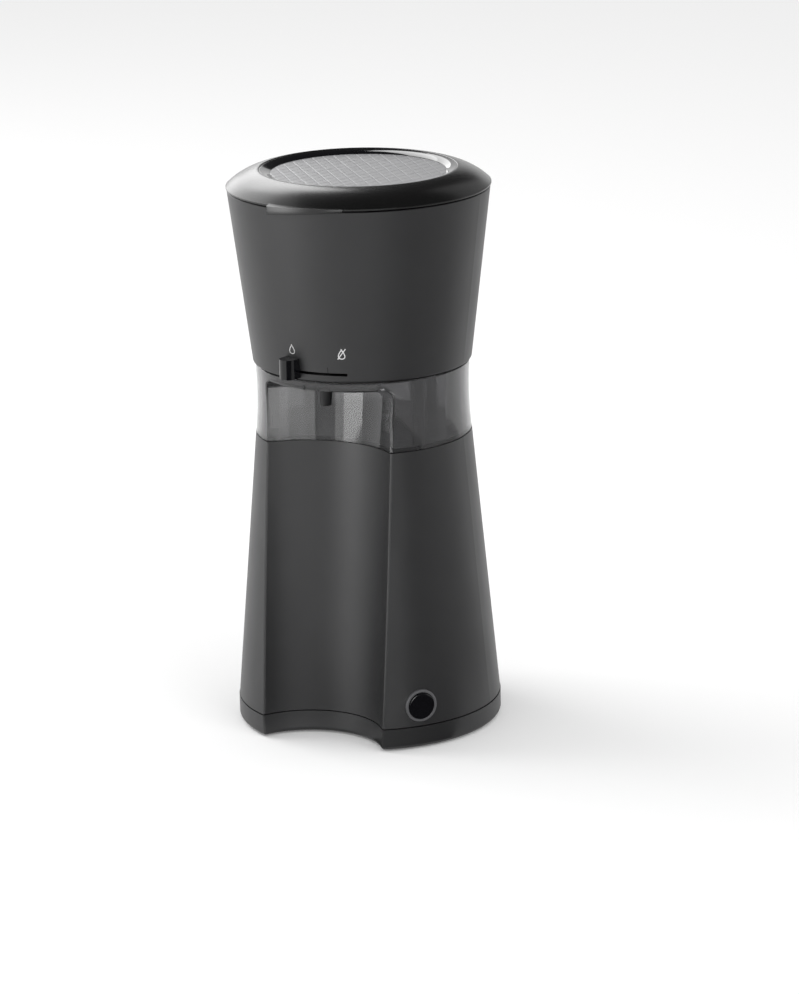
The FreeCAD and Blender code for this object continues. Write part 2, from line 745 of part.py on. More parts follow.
def make_lower_housing():
    outside = cone(COLUMN_BOTTOM_R, COLUMN_BOTTOM_Z, COLUMN_TOP_R, COLUMN_TOP_Z)
    outside = outside.cut(bay(0.0, COLUMN_BOTTOM_Z - OVER, COLUMN_TOP_Z + OVER))
    outside = round_bay_edges(outside, COLUMN_BOTTOM_Z, COLUMN_TOP_Z, column_r, BAY_EDGE_ROUND)
    z0 = COLUMN_BOTTOM_Z - OVER
    z1 = COLUMN_TOP_Z - COLUMN_WALL
    inside = cone(column_r(z0) - COLUMN_WALL, z0, column_r(z1) - COLUMN_WALL, z1)
    inside = inside.cut(bay(COLUMN_WALL, z0 - OVER, z1 + OVER))
    body = outside.cut(inside)
    pieces = [body]
    boss_bottom = FLOOR_GAP + FLOOR_T
    boss_top = BASE_BOSS_TOP_Z + OVER
    within_wall = cone(column_r(0) - BASE_RIB_INTO_WALL, 0, column_r(boss_top) - BASE_RIB_INTO_WALL, boss_top)
    for azimuth in BASE_SCREW_AZ:
        p = spot(BASE_SCREW_CIRCLE_R, azimuth, 0)
        boss = rod(BASE_BOSS_R, boss_bottom, BASE_BOSS_TOP_Z, p.x, p.y)
        rib = slab(BASE_SCREW_CIRCLE_R, COLUMN_BOTTOM_R, -BASE_RIB_T / 2, BASE_RIB_T / 2,
                   BASE_BOSS_TOP_Z - BASE_RIB_H, BASE_BOSS_TOP_Z)
        rib = facing(rib, azimuth, 0.0)
        pieces.append(boss.fuse(rib).common(within_wall))
    pieces.append(rod_along(Vector(0, GLAND_PAD_Y - GLAND_PAD_DEPTH, GLAND_Z), Vector(0, 1, 0), GLAND_PAD_R,
                            GLAND_PAD_DEPTH))
    body = fuse_all(pieces)
    cuts = []
    for azimuth in BASE_SCREW_AZ:
        p = spot(BASE_SCREW_CIRCLE_R, azimuth, 0)
        cuts.append(rod(SCREW_R, 0, FLOOR_GAP + BASE_SCREW_L, p.x, p.y))
    for azimuth in TIE_AZ:
        p = spot(TIE_CIRCLE_R, azimuth, 0)
        cuts.append(rod(TIE_R + TIE_HOLE_GAP, z1 - OVER, COLUMN_TOP_Z + OVER, p.x, p.y))
    cuts.append(rod(HOSE_BORE_R + NIPPLE_GAP, z1 - OVER, COLUMN_TOP_Z + OVER, -LINE_X, LINE_Y))
    cuts.append(rod(HOSE_HOLE_R, z1 - OVER, COLUMN_TOP_Z + OVER, LINE_X, LINE_Y))
    gland_start = Vector(0, GLAND_PAD_Y - 2 * GLAND_PAD_DEPTH, GLAND_Z)
    cuts.append(rod_along(gland_start, Vector(0, 1, 0), GLAND_R, 3 * GLAND_PAD_DEPTH))
    back_face = gland_back_y()
    cuts.append(slab(-GLAND_PAD_R, GLAND_PAD_R, back_face - GLAND_PAD_DEPTH, back_face, GLAND_Z - GLAND_PAD_R,
                     GLAND_Z + GLAND_PAD_R))
    ring_start = Vector(button_face_r() - 2 * LIGHT_RING_L, 0, 0)
    cuts.append(facing(rod_along(ring_start, Vector(1, 0, 0), light_ring_r(), 4 * LIGHT_RING_L), BUTTON_AZ, BUTTON_Z))
    return body.cut(cuts)


def make_water_tank():
    top = HEAD_BOTTOM_Z - GASKET_T
    outside = tank_outline(0.0, COLUMN_TOP_Z, top)
    outside = outside.makeChamfer(TANK_EDGE, rim_at(outside, top))
    outside = outside.cut(bay_with_ceiling(0.0, COLUMN_TOP_Z - OVER, BAY_CEILING_Z, BAY_CORNER_R))
    outside = round_bay_edges(outside, COLUMN_TOP_Z, BAY_CEILING_Z - BAY_CORNER_R, tank_r, BAY_EDGE_ROUND)
    inside = tank_outline(TANK_WALL, COLUMN_TOP_Z, top)
    inside = inside.cut(rod(PLINTH_R, COLUMN_TOP_Z - OVER, COLUMN_TOP_Z + TANK_FLOOR_T))
    inside = inside.cut(bay_with_ceiling(
        TANK_WALL, COLUMN_TOP_Z - OVER, BAY_CEILING_Z + TANK_ROOF_T, BAY_CORNER_R + TANK_WALL))
    body = outside.cut(inside).cut(tank_seam_groove(top))
    adds = [rod(SLEEVE_R, COLUMN_TOP_Z, top, LINE_X, LINE_Y)]
    adds.append(rod(HOSE_BORE_R, NIPPLE_BOTTOM_Z, COLUMN_TOP_Z + TANK_FLOOR_T, -LINE_X, LINE_Y))
    cuts = [rod(HOSE_HOLE_R, COLUMN_TOP_Z - OVER, top + OVER, LINE_X, LINE_Y)]
    cuts.append(rod(NIPPLE_BORE_R, NIPPLE_BOTTOM_Z - OVER, COLUMN_TOP_Z + 2 * TANK_FLOOR_T, -LINE_X, LINE_Y))
    cuts.append(rod(SPOUT_HOLE_R, BAY_CEILING_Z - OVER, top + OVER, 0.0, SPOUT_Y))
    for azimuth in TIE_AZ:
        p = spot(TIE_CIRCLE_R, azimuth, 0)
        adds.append(rod(PILLAR_R, COLUMN_TOP_Z, top, p.x, p.y))
        cuts.append(rod(PILLAR_BORE_R, COLUMN_TOP_Z - OVER, top + OVER, p.x, p.y))
    body = fuse_all([body] + adds)
    return body.cut(cuts)


def tank_seam_groove(top):
    """Shadow line round the tank's foot, where it meets the column."""
    core = tank_outline(TANK_SEAM_IN, COLUMN_TOP_Z, top)
    core = core.cut(bay(TANK_SEAM_IN, COLUMN_TOP_Z - OVER, BAY_CEILING_Z))
    return rod(PLINTH_R, COLUMN_TOP_Z, COLUMN_TOP_Z + TANK_SEAM_H).cut(core)


def make_tank_gasket():
    z0 = HEAD_BOTTOM_Z - GASKET_T
    return tube(TANK_TOP_R - GASKET_RECESS, TANK_TOP_R - TANK_WALL + GASKET_INSET, z0, HEAD_BOTTOM_Z)


def make_head_housing():
    outside = cone(HEAD_BOTTOM_R, HEAD_BOTTOM_Z, HEAD_TOP_R, HEAD_TOP_Z)
    outside = outside.makeFillet(HEAD_EDGE_R, rim_at(outside, HEAD_BOTTOM_Z))
    outside = outside.makeChamfer(HEAD_LIP_EDGE, rim_at(outside, HEAD_TOP_Z))
    z0 = HEAD_BOTTOM_Z + HEAD_FLOOR_T
    z1 = HEAD_TOP_Z + OVER
    inside = cone(head_r(z0) - HEAD_WALL, z0, head_r(z1) - HEAD_WALL, z1)
    rebate = rod(HEAD_TOP_R - FLANGE_W, LINER_FLANGE_Z, HEAD_TOP_Z + OVER)
    body = outside.cut(inside).cut(rebate)
    adds = [rod(HUB_R, HEAD_BOTTOM_Z, SHUTTER_Z + SHUTTER_T + SHUTTER_RUN)]
    for azimuth in TIE_AZ:
        p = spot(TIE_CIRCLE_R, azimuth, 0)
        adds.append(rod(TIE_BOSS_R, HEAD_BOTTOM_Z, TIE_TIP_Z + TIE_BOSS_COVER, p.x, p.y))
    for side in (-1, 1):
        x0 = side * (KNUCKLE_HALF_W + HINGE_GAP)
        x1 = x0 + side * EAR_W
        adds.append(hinge_ear(min(x0, x1), max(x0, x1)))
    body = fuse_all([body] + adds)
    cuts = [rod(HUB_BORE_R, HEAD_BOTTOM_Z - OVER, LINER_FLOOR_Z)]
    for azimuth in TIE_AZ:
        p = spot(TIE_CIRCLE_R, azimuth, 0)
        cuts.append(rod(TIE_R, HEAD_BOTTOM_Z - OVER, TIE_TIP_Z, p.x, p.y))
    cuts.append(rod(HOSE_HOLE_R, HEAD_BOTTOM_Z - OVER, z0 + OVER, LINE_X, LINE_Y))
    cuts.append(rod(THROAT_R + THROAT_HOLE_GAP, HEAD_BOTTOM_Z - OVER, z0 + OVER, 0.0, THROAT_Y))
    cuts.append(rod(SPOUT_HOLE_R, HEAD_BOTTOM_Z - OVER, z0 + OVER, 0.0, SPOUT_Y))
    slot_in = HEAD_BOTTOM_R - 2 * HEAD_WALL
    cuts.append(ring_sector(slot_in, HEAD_BOTTOM_R + 2 * HEAD_WALL, SLOT_Z0, SLOT_Z1, -SLOT_AZ, SLOT_AZ))
    notch_w = KNUCKLE_HALF_W + HINGE_GAP
    notch = rod_along(Vector(-notch_w, HINGE_Y, HINGE_Z), Vector(1, 0, 0), HINGE_R + HINGE_GAP, 2 * notch_w)
    cuts.append(notch)
    pin_l = 2 * (notch_w + EAR_W)
    cuts.append(rod_along(Vector(-pin_l / 2, HINGE_Y, HINGE_Z), Vector(1, 0, 0), HINGE_PIN_R, pin_l))
    return body.cut(cuts)


def hinge_ear(x0, x1):
    """One ear of the head's half of the hinge, with its gusset down the rear wall."""
    barrel = rod_along(Vector(x0, HINGE_Y, HINGE_Z), Vector(1, 0, 0), HINGE_R, x1 - x0)
    root_y = head_r(EAR_ROOT_Z) - EAR_ROOT_IN
    gusset = prism_x([
        (HINGE_Y - HINGE_R, HINGE_Z),
        (HINGE_Y + HINGE_R, HINGE_Z),
        (root_y + EAR_ROOT_IN, EAR_ROOT_Z),
        (root_y, EAR_ROOT_Z),
        (root_y, HINGE_Z),
    ], x0, x1)
    keep = cone(head_r(EAR_ROOT_Z - OVER) - HEAD_WALL, EAR_ROOT_Z - OVER,
                head_r(HEAD_TOP_Z) - HEAD_WALL, HEAD_TOP_Z)
    rebate = rod(HEAD_TOP_R - FLANGE_W, LINER_FLANGE_Z, HINGE_Z + HINGE_R + OVER)
    return barrel.fuse(gusset).cut(keep).cut(rebate)


def make_chamber_liner():
    bottom = LINER_FLOOR_Z
    top = LINER_FLANGE_Z + LINER_FLANGE_T
    outside = cone(liner_r(bottom), bottom, liner_r(top), top)
    flange = rod(HEAD_TOP_R - FLANGE_W - FLANGE_RUN, LINER_FLANGE_Z, top)
    floor_top = bottom + LINER_FLOOR_T
    inside = cone(liner_bore_r(floor_top), floor_top, liner_bore_r(top + OVER), top + OVER)
    adds = [outside, flange]
    adds.append(rod(NECK_R, NECK_BOTTOM_Z, floor_top, 0.0, SPOUT_Y))
    adds.append(rod(THROAT_R, THROAT_BOTTOM_Z, floor_top, 0.0, THROAT_Y))
    body = fuse_all(adds).cut(inside)
    body = body.fuse(basket_rests()).removeSplitter()
    cuts = [rod(NECK_BORE_R, NECK_BOTTOM_Z - OVER, floor_top + OVER, 0.0, SPOUT_Y)]
    cuts.append(rod(THROAT_BORE_R, THROAT_BOTTOM_Z - OVER, floor_top + OVER, 0.0, THROAT_Y))
    cuts.append(rod(GROMMET_R - GROMMET_LIP, bottom - OVER, floor_top + OVER, LINE_X, LINE_Y))
    half = KNUCKLE_HALF_W + HINGE_GAP
    start = Vector(-half, HINGE_Y, HINGE_Z)
    cuts.append(rod_along(start, Vector(1, 0, 0), HINGE_R + HINGE_GAP, 2 * half))
    return body.cut(cuts)


def basket_rests():
    """Ribs on the liner's wall that the basket's lip hangs on."""
    top = BASKET_TOP_Z - BASKET_LIP_T
    low = top - REST_H
    room = cone(liner_r(low) - LINER_WALL / 2, low, liner_r(top) - LINER_WALL / 2, top)
    basket = basket_solid(-REST_GAP, low - OVER, top + OVER)
    ribs = []
    for azimuth in REST_AZ:
        rib = slab(basket_bottom_r() / 2, HEAD_TOP_R, -REST_W / 2, REST_W / 2, low, top)
        ribs.append(facing(rib, azimuth, 0.0).common(room).cut(basket))
    return ribs


def make_riser_grommet():
    z0 = LINER_FLOOR_Z - GROMMET_PROUD
    z1 = LINER_FLOOR_Z + LINER_FLOOR_T + GROMMET_PROUD
    body = rod(GROMMET_R, z0, z1, LINE_X, LINE_Y)
    groove = tube(GROMMET_R + OVER, GROMMET_R - GROMMET_LIP, LINER_FLOOR_Z, LINER_FLOOR_Z + LINER_FLOOR_T,
                  LINE_X, LINE_Y)
    return body.cut(groove).cut(rod(PIPE_R, z0 - OVER, z1 + OVER, LINE_X, LINE_Y))


def pipe_top():
    """Middle of the riser's cup, just inside the liner's wall."""
    scale = port_r() / math.hypot(LINE_X, LINE_Y)
    return Vector(LINE_X * scale, LINE_Y * scale, PIPE_TOP_Z)


def port_r():
    return liner_bore_r(PIPE_TOP_Z) - PIPE_CUP_R - PIPE_CUP_GAP


def port_azimuth():
    return math.degrees(math.atan2(LINE_X, -LINE_Y))


def pipe_run(radius):
    """The riser pipe's outline at one radius: upright, then leaning out along the liner's wall."""
    foot = Vector(LINE_X, LINE_Y, HOSE_TOP_Z)
    bend = Vector(LINE_X, LINE_Y, PIPE_BEND_Z)
    lean = pipe_top() - bend
    length = lean.Length + OVER
    upright = rod_along(foot, Vector(0, 0, 1), radius, bend.z - foot.z)
    leaning = rod_along(bend, lean, radius, length)
    knee = Part.makeSphere(radius, bend)
    return [upright, knee, leaning]


def make_riser_pipe():
    top = pipe_top()
    barb = rod(HOSE_BORE_R, HOSE_TOP_Z - BARB_DEPTH, HOSE_TOP_Z, LINE_X, LINE_Y)
    cup = rod(PIPE_CUP_R, PIPE_TOP_Z - PIPE_CUP_H, PIPE_TOP_Z, top.x, top.y)
    body = fuse_all(pipe_run(PIPE_R) + [barb, cup])
    bore = rod(PIPE_BORE_R, HOSE_TOP_Z - BARB_DEPTH - OVER, HOSE_TOP_Z + OVER, LINE_X, LINE_Y)
    body = body.cut(fuse_all(pipe_run(PIPE_BORE_R) + [bore]))
    return body.cut(rod(HEAD_TOP_R, PIPE_TOP_Z, LID_CREST_Z))


def basket_solid(inset, z0, z1):
    circles = []
    for z in (z0, z1):
        circles.append(Part.Wire(Part.makeCircle(basket_r(z) - inset, Vector(0, basket_y(z), z))))
    return Part.makeLoft(circles, True, True)


def above_slope(height_at_front):
    """Everything above the basket floor's slope, which falls to the outlet at the front."""
    reach = 2 * HEAD_TOP_R
    block = slab(-reach, reach, -reach, reach, height_at_front, height_at_front + 2 * HEAD_H)
    front = Vector(0, BASKET_BOTTOM_Y - basket_bottom_r(), height_at_front)
    block.rotate(front, Vector(1, 0, 0), BASKET_SLOPE)
    return block


def make_brew_basket():
    outside = basket_solid(0.0, BASKET_BOTTOM_Z, BASKET_TOP_Z).common(above_slope(BASKET_BOTTOM_Z))
    lip = rod(basket_top_r() + BASKET_LIP_W, BASKET_TOP_Z - BASKET_LIP_T, BASKET_TOP_Z, 0.0, BASKET_TOP_Y)
    spigot = rod(SPIGOT_R, SPIGOT_BOTTOM_Z, BASKET_BOTTOM_Z + BASKET_WALL, 0.0, SPOUT_Y)
    inside = basket_solid(BASKET_WALL, BASKET_BOTTOM_Z, BASKET_TOP_Z + OVER)
    inside = inside.common(above_slope(BASKET_BOTTOM_Z + BASKET_WALL))
    body = fuse_all([outside, lip, spigot]).cut(inside)
    ribs = []
    for azimuth in (0.0, 120.0, 240.0):
        rib_end = filter_r(FILTER_BOTTOM_Z) + FILTER_WALL
        rib = slab(rib_end - BASKET_RIB_L, rib_end, -BASKET_RIB_T / 2, BASKET_RIB_T / 2,
                   BASKET_BOTTOM_Z, FILTER_BOTTOM_Z)
        rib = facing(rib, azimuth + 180.0, 0.0)
        rib.translate(Vector(0, BASKET_TOP_Y, 0))
        ribs.append(rib.common(above_slope(BASKET_BOTTOM_Z + BASKET_WALL / 2)))
    body = body.fuse(ribs).removeSplitter()
    return body.cut(rod(SPIGOT_BORE_R, SPIGOT_BOTTOM_Z - OVER, FILTER_BOTTOM_Z, 0.0, SPOUT_Y))


def make_basket_seal():
    return tube(NECK_BORE_R, SPIGOT_R, RING_SEAL_Z, RING_SEAL_Z + RING_SEAL_T, 0.0, SPOUT_Y)


def filter_cone(inset, z0, z1):
    return cone(filter_r(z0) - inset, z0, filter_r(z1) - inset, z1, 0.0, BASKET_TOP_Y)


def make_filter_frame():
    outside = filter_cone(0.0, FILTER_BOTTOM_Z, FILTER_TOP_Z)
    lip = rod(filter_top_r() + FILTER_LIP_W, FILTER_TOP_Z - FILTER_LIP_T, FILTER_TOP_Z, 0.0, BASKET_TOP_Y)
    inside = filter_cone(FILTER_WALL, FILTER_BOTTOM_Z, FILTER_TOP_Z + OVER)
    body = outside.fuse(lip).removeSplitter().cut(inside)
    z0 = FILTER_BOTTOM_Z + FILTER_BASE_H
    z1 = FILTER_TOP_Z - FILTER_BAND_H
    step = 360.0 / FILTER_RIBS
    middle_r = filter_r((z0 + z1) / 2)
    rib_half = math.degrees(FILTER_RIB_W / 2 / middle_r)
    inner_r = filter_r(FILTER_BOTTOM_Z) / 2
    outer_r = filter_top_r() + OVER
    for i in range(FILTER_RIBS):
        window = ring_sector(inner_r, outer_r, z0, z1, i * step + rib_half, (i + 1) * step - rib_half)
        window.translate(Vector(0, BASKET_TOP_Y, 0))
        body = body.cut(window)
    bottom_r = filter_r(FILTER_BOTTOM_Z)
    floor_ring = tube(bottom_r - FILTER_WALL / 2, bottom_r - FILTER_BASE_W,
                      FILTER_BOTTOM_Z, FILTER_BOTTOM_Z + FILTER_WALL, 0.0, BASKET_TOP_Y)
    body = body.fuse(floor_ring).removeSplitter()
    pin_z = FILTER_TOP_Z - BAIL_EYE_DROP / 2
    for side in (-1, 1):
        start = Vector(side * (filter_top_r() - 3 * FILTER_WALL), BASKET_TOP_Y, pin_z)
        hole = rod_along(start, Vector(side, 0, 0), BAIL_PIN_R + BAIL_PIN_GAP, 6 * FILTER_WALL)
        body = body.cut(hole)
    return body


def make_filter_mesh():
    z0 = FILTER_BOTTOM_Z + FILTER_WALL
    z1 = FILTER_TOP_Z - FILTER_BAND_H + MESH_LAP
    outer = filter_cone(FILTER_WALL, z0, z1)
    inner = filter_cone(FILTER_WALL + MESH_T, z0 + MESH_T, z1 + OVER)
    return outer.cut(inner)


def make_filter_handle():
    """Bail that folds flat on the filter's rim, with a pin at each end in the rim."""
    r1 = filter_top_r() - BAIL_INSET
    bail_z0 = FILTER_TOP_Z + BAIL_LIFT
    arc = ring_sector(r1 - BAIL_W, r1, bail_z0, bail_z0 + BAIL_T, 90.0, 270.0)
    eye_z = FILTER_TOP_Z - BAIL_EYE_DROP
    wall_r = filter_r(eye_z) - FILTER_WALL - BAIL_EYE_GAP
    pieces = [arc]
    for side in (-1, 1):
        x0 = side * (wall_r - BAIL_EYE_T)
        x1 = side * wall_r
        pieces.append(slab(min(x0, x1), max(x0, x1), -BAIL_EYE_W / 2, BAIL_EYE_W / 2, eye_z, bail_z0 + BAIL_T))
        start = Vector(x1 - side * BAIL_EYE_T / 2, 0, FILTER_TOP_Z - BAIL_EYE_DROP / 2)
        pin_l = BAIL_EYE_T / 2 + BAIL_EYE_GAP + FILTER_WALL / 2
        pieces.append(rod_along(start, Vector(side, 0, 0), BAIL_PIN_R, pin_l))
    bail = fuse_all(pieces)
    bail.translate(Vector(0, BASKET_TOP_Y, 0))
    return bail


def make_drip_spout():
    seat = HEAD_BOTTOM_Z + HEAD_FLOOR_T
    body = turned([
        (0, SPOUT_BOTTOM_Z),
        (SPOUT_TIP_R, SPOUT_BOTTOM_Z),
        (SPOUT_R, BAY_CEILING_Z),
        (SPOUT_R, seat),
        (SPOUT_FLANGE_R, seat),
        (SPOUT_FLANGE_R, seat + SPOUT_FLANGE_T),
        (SPOUT_SEAT_R, seat + SPOUT_FLANGE_T),
        (SPOUT_SEAT_R, SPOUT_SEAT_Z),
        (0, SPOUT_SEAT_Z),
    ])
    bore = turned([
        (0, SPOUT_BOTTOM_Z - OVER),
        (SPOUT_BORE_R, SPOUT_BOTTOM_Z - OVER),
        (SPOUT_BORE_R, seat - OVER),
        (SPOUT_MOUTH_R, SPOUT_SEAT_Z - SPOUT_MOUTH_H),
        (SPOUT_MOUTH_R, SPOUT_SEAT_Z + OVER),
        (0, SPOUT_SEAT_Z + OVER),
    ])
    body = body.cut(bore)
    body.translate(Vector(0, SPOUT_Y, 0))
    return body


def make_gate_seal():
    return tube(SPOUT_SEAT_R - GATE_SEAL_INSET, SPOUT_MOUTH_R, SPOUT_SEAT_Z, SPOUT_SEAT_Z + GATE_SEAL_T, 0.0, SPOUT_Y)


def arm_end_r():
    """How far the shutter's arm reaches into the knob."""
    return head_r(SLOT_Z0) + KNOB_GAP + ARM_LAP


def make_shutter_plate():
    """Turns about the head's hub: a gate under the basket's outlet, and a cranked arm out to the knob."""
    z0 = SHUTTER_Z
    z1 = SHUTTER_Z + SHUTTER_T
    ring_r = HUB_R + HUB_RUN
    ring = tube(ring_r + SHUTTER_RING_W, ring_r, z0, z1)
    az0 = -KNOB_TRAVEL - SHUTTER_OVERLAP_AZ
    az1 = SHUTTER_OVERLAP_AZ
    gate = ring_sector(SHUTTER_GATE_R0, SHUTTER_GATE_R1, z0, z1, az0, az1)
    spokes = []
    for azimuth in (az0 + SHUTTER_SPOKE_AZ, KNOB_AZ, az1 - SHUTTER_SPOKE_AZ):
        spoke = slab(ring_r + SHUTTER_RING_W / 2, SHUTTER_GATE_R0 + SHUTTER_SPOKE_LAP,
                     -SHUTTER_SPOKE_W / 2, SHUTTER_SPOKE_W / 2, z0, z1)
        spokes.append(facing(spoke, azimuth, 0.0))
    half = ARM_W / 2
    step_r0 = SHUTTER_GATE_R1 + ARM_STEP_GAP
    step_r1 = step_r0 + ARM_STEP_W
    root = slab(SHUTTER_GATE_R1 - SHUTTER_SPOKE_LAP, step_r1, -half, half, z0, z1)
    step = slab(step_r0, step_r1, -half, half, ARM_Z, z1)
    arm = slab(step_r0, arm_end_r(), -half, half, ARM_Z, ARM_Z + ARM_T)
    arm = facing(fuse_all([root, step, arm]), KNOB_AZ, 0.0)
    body = fuse_all([ring, gate] + spokes + [arm])
    return body.cut(rod(SPOUT_MOUTH_R, z0 - OVER, z1 + OVER, 0.0, SPOUT_Y))


def make_slider_knob():
    """Round-nosed finger knob that stands close to the head, with a socket for the shutter's arm."""
    half = KNOB_W / 2
    nose_r = KNOB_R - half
    body = slab(HEAD_BOTTOM_R - half, nose_r, -half, half, KNOB_Z0, KNOB_Z1)
    body = body.fuse(rod(half, KNOB_Z0, KNOB_Z1, nose_r, 0.0)).removeSplitter()
    rims = [e for e in body.Edges if e.BoundBox.ZLength < FIT and e.BoundBox.XMax > HEAD_BOTTOM_R]
    body = body.makeChamfer(KNOB_EDGE, rims)
    behind = cone(head_r(KNOB_Z0 - OVER) + KNOB_GAP, KNOB_Z0 - OVER, head_r(KNOB_Z1 + OVER) + KNOB_GAP, KNOB_Z1 + OVER)
    socket = slab(HEAD_BOTTOM_R - half, arm_end_r(), -ARM_W / 2, ARM_W / 2, ARM_Z, ARM_Z + ARM_T)
    return facing(body.cut([behind, socket]), KNOB_AZ, 0.0)


def lid_inside():
    """Corners inside the lid's rim and under its shoulder, a wall in from the dome."""
    slope = math.atan2(LID_SHOULDER_Z - LID_RIM_Z, LID_RIM_R - LID_SHOULDER_R)
    rim_in = Vector(LID_RIM_R - LID_WALL, 0, LID_RIM_Z - LID_WALL * math.tan(slope / 2))
    shoulder_in = Vector(LID_SHOULDER_R - LID_WALL * math.sin(slope), 0, LID_SHOULDER_Z - LID_WALL * math.cos(slope))
    return rim_in, shoulder_in


def lid_inner_r(z):
    """Radius inside the lid's rim."""
    rim_in, shoulder_in = lid_inside()
    if z <= rim_in.z:
        return rim_in.x
    return between(z, rim_in.z, rim_in.x, shoulder_in.z, shoulder_in.x)


def make_lid_cover():
    rim_low = Vector(LID_RIM_R - LID_EDGE, 0, HEAD_TOP_Z + LID_GAP)
    rim_edge = Vector(LID_RIM_R, 0, rim_low.z + LID_EDGE)
    rim = Vector(LID_RIM_R, 0, LID_RIM_Z)
    shoulder = Vector(LID_SHOULDER_R, 0, LID_SHOULDER_Z)
    crest = Vector(LID_CREST_R, 0, LID_CREST_Z)
    rim_in, shoulder_in = lid_inside()
    low_in = Vector(rim_in.x, 0, rim_low.z)
    under_z = LID_RECESS_Z - LID_FLOOR_T
    recess_r = LID_RECESS_R
    points = [
        (recess_r, LID_CREST_Z - LID_RECESS_EDGE),
        (recess_r, LID_RECESS_Z),
        (0, LID_RECESS_Z),
        (0, under_z),
        (recess_r, under_z),
    ]
    corners = [Vector(r, 0, z) for r, z in points]
    edges = [
        Part.makeLine(rim_low, rim_edge),
        Part.makeLine(rim_edge, rim),
        Part.Arc(rim, shoulder, crest).toShape(),
        Part.makeLine(crest, corners[0]),
    ]
    for a, b in zip(corners[:-1], corners[1:]):
        edges.append(Part.makeLine(a, b))
    edges.append(Part.makeLine(corners[-1], shoulder_in))
    edges.append(Part.makeLine(shoulder_in, rim_in))
    edges.append(Part.makeLine(rim_in, low_in))
    edges.append(Part.makeLine(low_in, rim_low))
    face = Part.Face(Part.Wire(edges))
    body = face.revolve(Vector(0, 0, 0), Vector(0, 0, 1), 360)
    body = body.fuse([lid_tab(), lid_knuckle()]).removeSplitter()
    ear0 = KNUCKLE_HALF_W
    ear1 = KNUCKLE_HALF_W + 2 * HINGE_GAP + EAR_W
    cuts = []
    for side in (-1, 1):
        start = Vector(min(side * ear0, side * ear1), HINGE_Y, HINGE_Z)
        cuts.append(rod_along(start, Vector(1, 0, 0), HINGE_R + HINGE_GAP, ear1 - ear0))
    pin_r = HINGE_PIN_R + HINGE_PIN_RUN
    cuts.append(rod_along(Vector(-ear1, HINGE_Y, HINGE_Z), Vector(1, 0, 0), pin_r, 2 * ear1))
    return body.cut(cuts)


def lid_tab():
    """Finger tab on the front of the rim: it laps over the head, and fades out from its left end to its right."""
    into_rim = LID_RIM_R - LID_WALL / 2
    outer = LID_RIM_R + TAB_END_OUT
    inner = into_rim - TAB_SHIFT
    outline = [
        Vector(inner, 0, TAB_DROP_Z),
        Vector(outer, 0, TAB_DROP_Z),
        Vector(outer, 0, TAB_TOP_Z),
        Vector(inner, 0, TAB_TOP_Z),
    ]
    face = Part.Face(Part.makePolygon(outline + outline[:1]))
    tab = face.revolve(Vector(0, 0, 0), Vector(0, 0, 1), 2 * TAB_AZ)
    tab.rotate(Vector(0, 0, 0), Vector(0, 0, 1), -90.0 - TAB_AZ + TAB_TURN)
    tab.translate(spot(TAB_SHIFT, -TAB_AZ - TAB_LEAN, 0.0))
    z0 = TAB_DROP_Z - OVER
    z1 = HEAD_TOP_Z + LID_GAP
    over_head = cone(head_r(z0) + TAB_GAP, z0, head_r(z1) + TAB_GAP, z1)
    left = -LID_RIM_R * math.sin(math.radians(TAB_AZ))
    lifted = slab(0.0, 2 * LID_RIM_R, -2 * LID_RIM_R, 0.0, -LID_RIM_R, 0.0)
    lifted.rotate(Vector(0, 0, 0), Vector(0, 1, 0), -TAB_LIFT)
    lifted.translate(Vector(left, 0, TAB_DROP_Z))
    tab = tab.cut([over_head, rod(into_rim, z0, LID_CREST_Z), lifted])
    slope_r = into_rim + (TAB_TOP_Z - z0) / math.tan(math.radians(TAB_SLOPE))
    return tab.common(cone(slope_r, z0, into_rim, TAB_TOP_Z))


def lid_knuckle():
    """The lid's half of the hinge, with its web up into the rim."""
    barrel = rod_along(Vector(-KNUCKLE_HALF_W, HINGE_Y, HINGE_Z), Vector(1, 0, 0), HINGE_R, 2 * KNUCKLE_HALF_W)
    rim_low_z = HEAD_TOP_Z + LID_GAP
    web = prism_x([
        (LID_RIM_R - KNUCKLE_WEB, rim_low_z),
        (HINGE_Y - HINGE_PIN_R, rim_low_z),
        (HINGE_Y + HINGE_R, HINGE_Z),
        (LID_RIM_R - KNUCKLE_WEB / 2, LID_RIM_Z + HINGE_PIN_R),
        (LID_RIM_R - KNUCKLE_WEB, LID_RIM_Z),
    ], -KNUCKLE_HALF_W, KNUCKLE_HALF_W)
    return barrel.fuse(web)


def make_hinge_pin():
    half = KNUCKLE_HALF_W + HINGE_GAP + EAR_W
    return rod_along(Vector(-half, HINGE_Y, HINGE_Z), Vector(1, 0, 0), HINGE_PIN_R, 2 * half)


def make_lid_bevel():
    """Glossy ring that slopes from the crest down to the patterned panel."""
    return turned([
        (LID_RECESS_R, LID_RECESS_Z),
        (LID_RECESS_R, LID_CREST_Z - BEVEL_EDGE),
        (LID_RECESS_R - BEVEL_FLAT, LID_CREST_Z - BEVEL_EDGE),
        (LID_DISC_R, LID_DISC_Z + BEVEL_STEP),
        (LID_DISC_R, LID_RECESS_Z),
    ])


def make_lid_panel():
    return rod(LID_DISC_R, LID_RECESS_Z, LID_DISC_Z)


